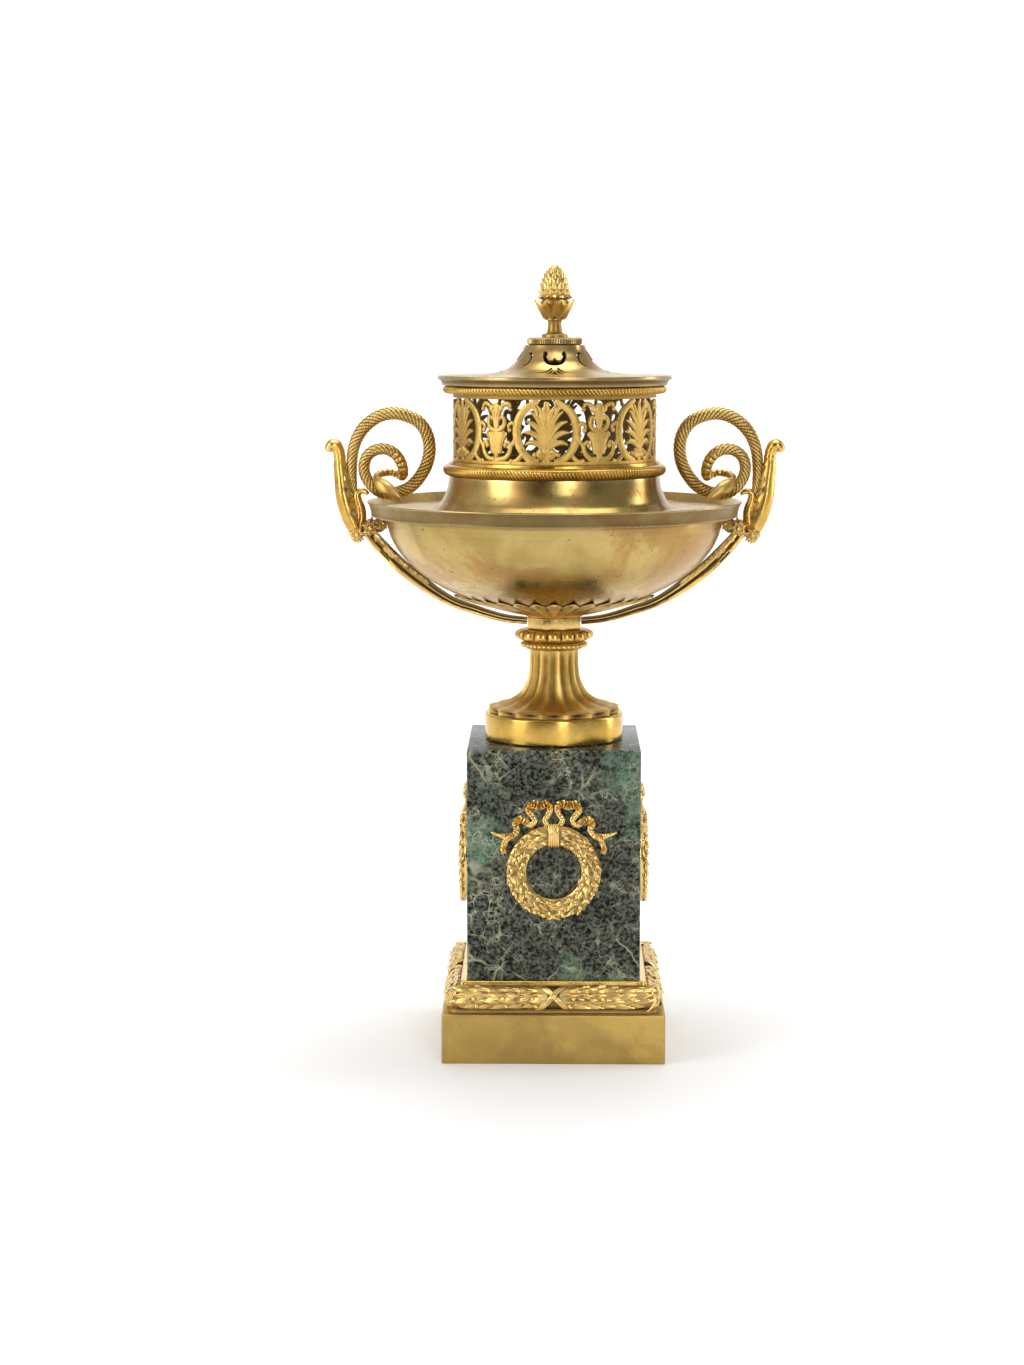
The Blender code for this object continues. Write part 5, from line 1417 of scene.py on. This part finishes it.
def serpentShape():
    look, top = serpentLines, handleLook["rim"]
    path = smoothLine(serpentRows, look["rows"])
    path = np.array([(x, y, z + top, r * (look["thick"] + 0.25)) for x, y, z, r in path])
    steps = np.linalg.norm(np.diff(path[:, :3], axis=0), axis=1)
    lengths = np.concatenate([[0], np.cumsum(steps)])
    shares = lengths / lengths[-1]
    shape = tubeAlong(path, look["sides"], oval, (0, 1, 0), True)
    bands = np.clip((shares - 0.80) / 0.04, 0, 1)
    girths = path[:, 3] / 3.65
    shape = scaled(shape, look["rows"], look["sides"], lengths, bands, girths, look["pitch"], look["round"],
                   look["depth"])
    head = np.array([(x, y, z + top, w, d) for x, y, z, w, d in smoothLine(headRows, look["headRows"])])
    steps = np.concatenate([[0], np.cumsum(np.linalg.norm(np.diff(head[:, :3], axis=0), axis=1))])
    side = (0.55, 0.0, -0.83)

    def headSection(a, row, index):
        c, s = math.cos(a), math.sin(a)
        brow = 1 + 0.10 * max(0, c) ** 6 * (0.2 < index / (look["headRows"] - 1) < 0.7)
        return row[4] * c * brow, row[3] * s * (1 - 0.10 * abs(c))

    rows = look["headRows"]
    skull = tubeAlong(head, look["headSides"], headSection, side)
    shape.join(scaled(skull, rows, look["headSides"], steps, np.zeros(rows), np.ones(rows), 1.35, look["round"], 0.20))
    for k, way in ((24, 1), (24, -1)):
        x, y, z, w, d = head[k]
        ahead = Vector(head[k + 1][:3]) - Vector(head[k][:3])
        across = Vector(side) - ahead.normalized() * Vector(side).dot(ahead.normalized())
        out = across.normalized().cross(ahead.normalized())
        place = Vector((x, y, z)) + across.normalized() * w * 0.62 * way + out * d * 0.72
        shape.join(ball(place, 0.75, 6, 10))
    return shape


def makeSerpents():
    shape = serpentShape()
    finishPiece("scaled_serpent_right", shape, scaly, ["serpent_right"], 60, 1.6)
    mirrored = shape.moved(lambda x, y, z: (-x, y, z))
    finishPiece("scaled_serpent_left", mirrored, scaly, ["serpent_left"], 60, 1.6)


makeSerpents()

room = {"lens": 71.2, "eye": (0.0, -1.555, 0.4185), "tilt": 7.63, "yaw": 0.90, "sensor": 36.0, "reach": 4.0,
        "bend": 1.2, "back": 2.2, "floor": colour(0.92, 0.92, 0.915)}


def makeRoom():
    floorMaterial, t = newMaterial("paleFloor")
    at = t.add("ShaderNodeTexCoord", out="Object")
    tint = t.blend(t.noise(at, 3.0, 3.0).ramp(0.3, 0.7) * 0.4, room["floor"], colour(0.95, 0.95, 0.945))
    shader = t.add("ShaderNodeBsdfPrincipled", {}, {"Base Color": tint, "Roughness": 0.7})
    t.add("ShaderNodeOutputMaterial", {}, {"Surface": shader})
    wide, bend, back = room["reach"], room["bend"], room["back"]
    rows = [(-wide, 0.0), (back, 0.0)]
    rows += [(back + bend * math.sin(a), bend - bend * math.cos(a)) for a in np.linspace(0.15, math.pi / 2, 12)]
    rows.append((back + bend, wide))
    mesh = bpy.data.meshes.new("floor")
    mesh.from_pydata([(x, y, z) for y, z in rows for x in (-wide, wide)], [], gridFaces(len(rows), 2))
    mesh.shade_smooth()
    mesh.materials.append(floorMaterial)
    floor = placed("floor", mesh)
    world = bpy.data.worlds.new("room")
    world.use_nodes = True
    t = Nodes(world.node_tree)
    way = t.add("ShaderNodeSeparateXYZ", {}, {0: t.add("ShaderNodeTexCoord", out="Generated")})
    front = (way.of("Y") * -1).ramp(0.50, 0.93)
    right = way.ramp(0.15, 0.90)             # the window is on the left, so the right side of the room is darker
    light = t.add("ShaderNodeBackground", {}, {"Color": colour(0.97, 0.98, 1.0),
                                               "Strength": (0.60 - front * 0.56 - right * 0.30).clip()})
    t.add("ShaderNodeOutputWorld", {}, {"Surface": light})
    bpy.context.scene.world = world
    for name, place, size, power, tint in (("leftWindow", (-1.75, -1.05, 0.9), (0.9, 1.6), 17.0, (1.0, 0.98, 0.95)),
                                           ("frontWindow", (0.62, -2.3, 0.85), (0.55, 1.5), 14.0, (1.0, 0.99, 0.97)),
                                           ("topLight", (0.1, 0.1, 2.1), (1.6, 1.6), 24.0, (1.0, 1.0, 1.0)),
                                           ("rightStrip", (1.7, 0.5, 0.7), (0.4, 1.4), 8.0, (0.97, 0.98, 1.0)),
                                           ("backWash", (0.0, 1.0, 2.4), (3.0, 0.8), 60.0, (1.0, 1.0, 1.0))):
        lamp = bpy.data.lights.new(name, "AREA")
        lamp.shape, lamp.size, lamp.size_y = "RECTANGLE", size[0], size[1]
        lamp.energy, lamp.color = power, tint
        item = placed(name, lamp)
        item.location = place
        aim = Vector((0, 3.4, 1.0)) if name == "backWash" else Vector((0, 0, 0.25))
        item.rotation_euler = (aim - Vector(place)).to_track_quat("-Z", "Y").to_euler()
    camera = bpy.data.cameras.new("camera")
    camera.lens, camera.sensor_width = room["lens"], room["sensor"]
    holder = placed("camera", camera)
    holder.location = room["eye"]
    holder.rotation_euler = (math.radians(90 - room["tilt"]), 0, math.radians(room["yaw"]))
    bpy.context.scene.camera = holder
    bpy.context.scene.view_settings.view_transform = "Standard"


makeRoom()
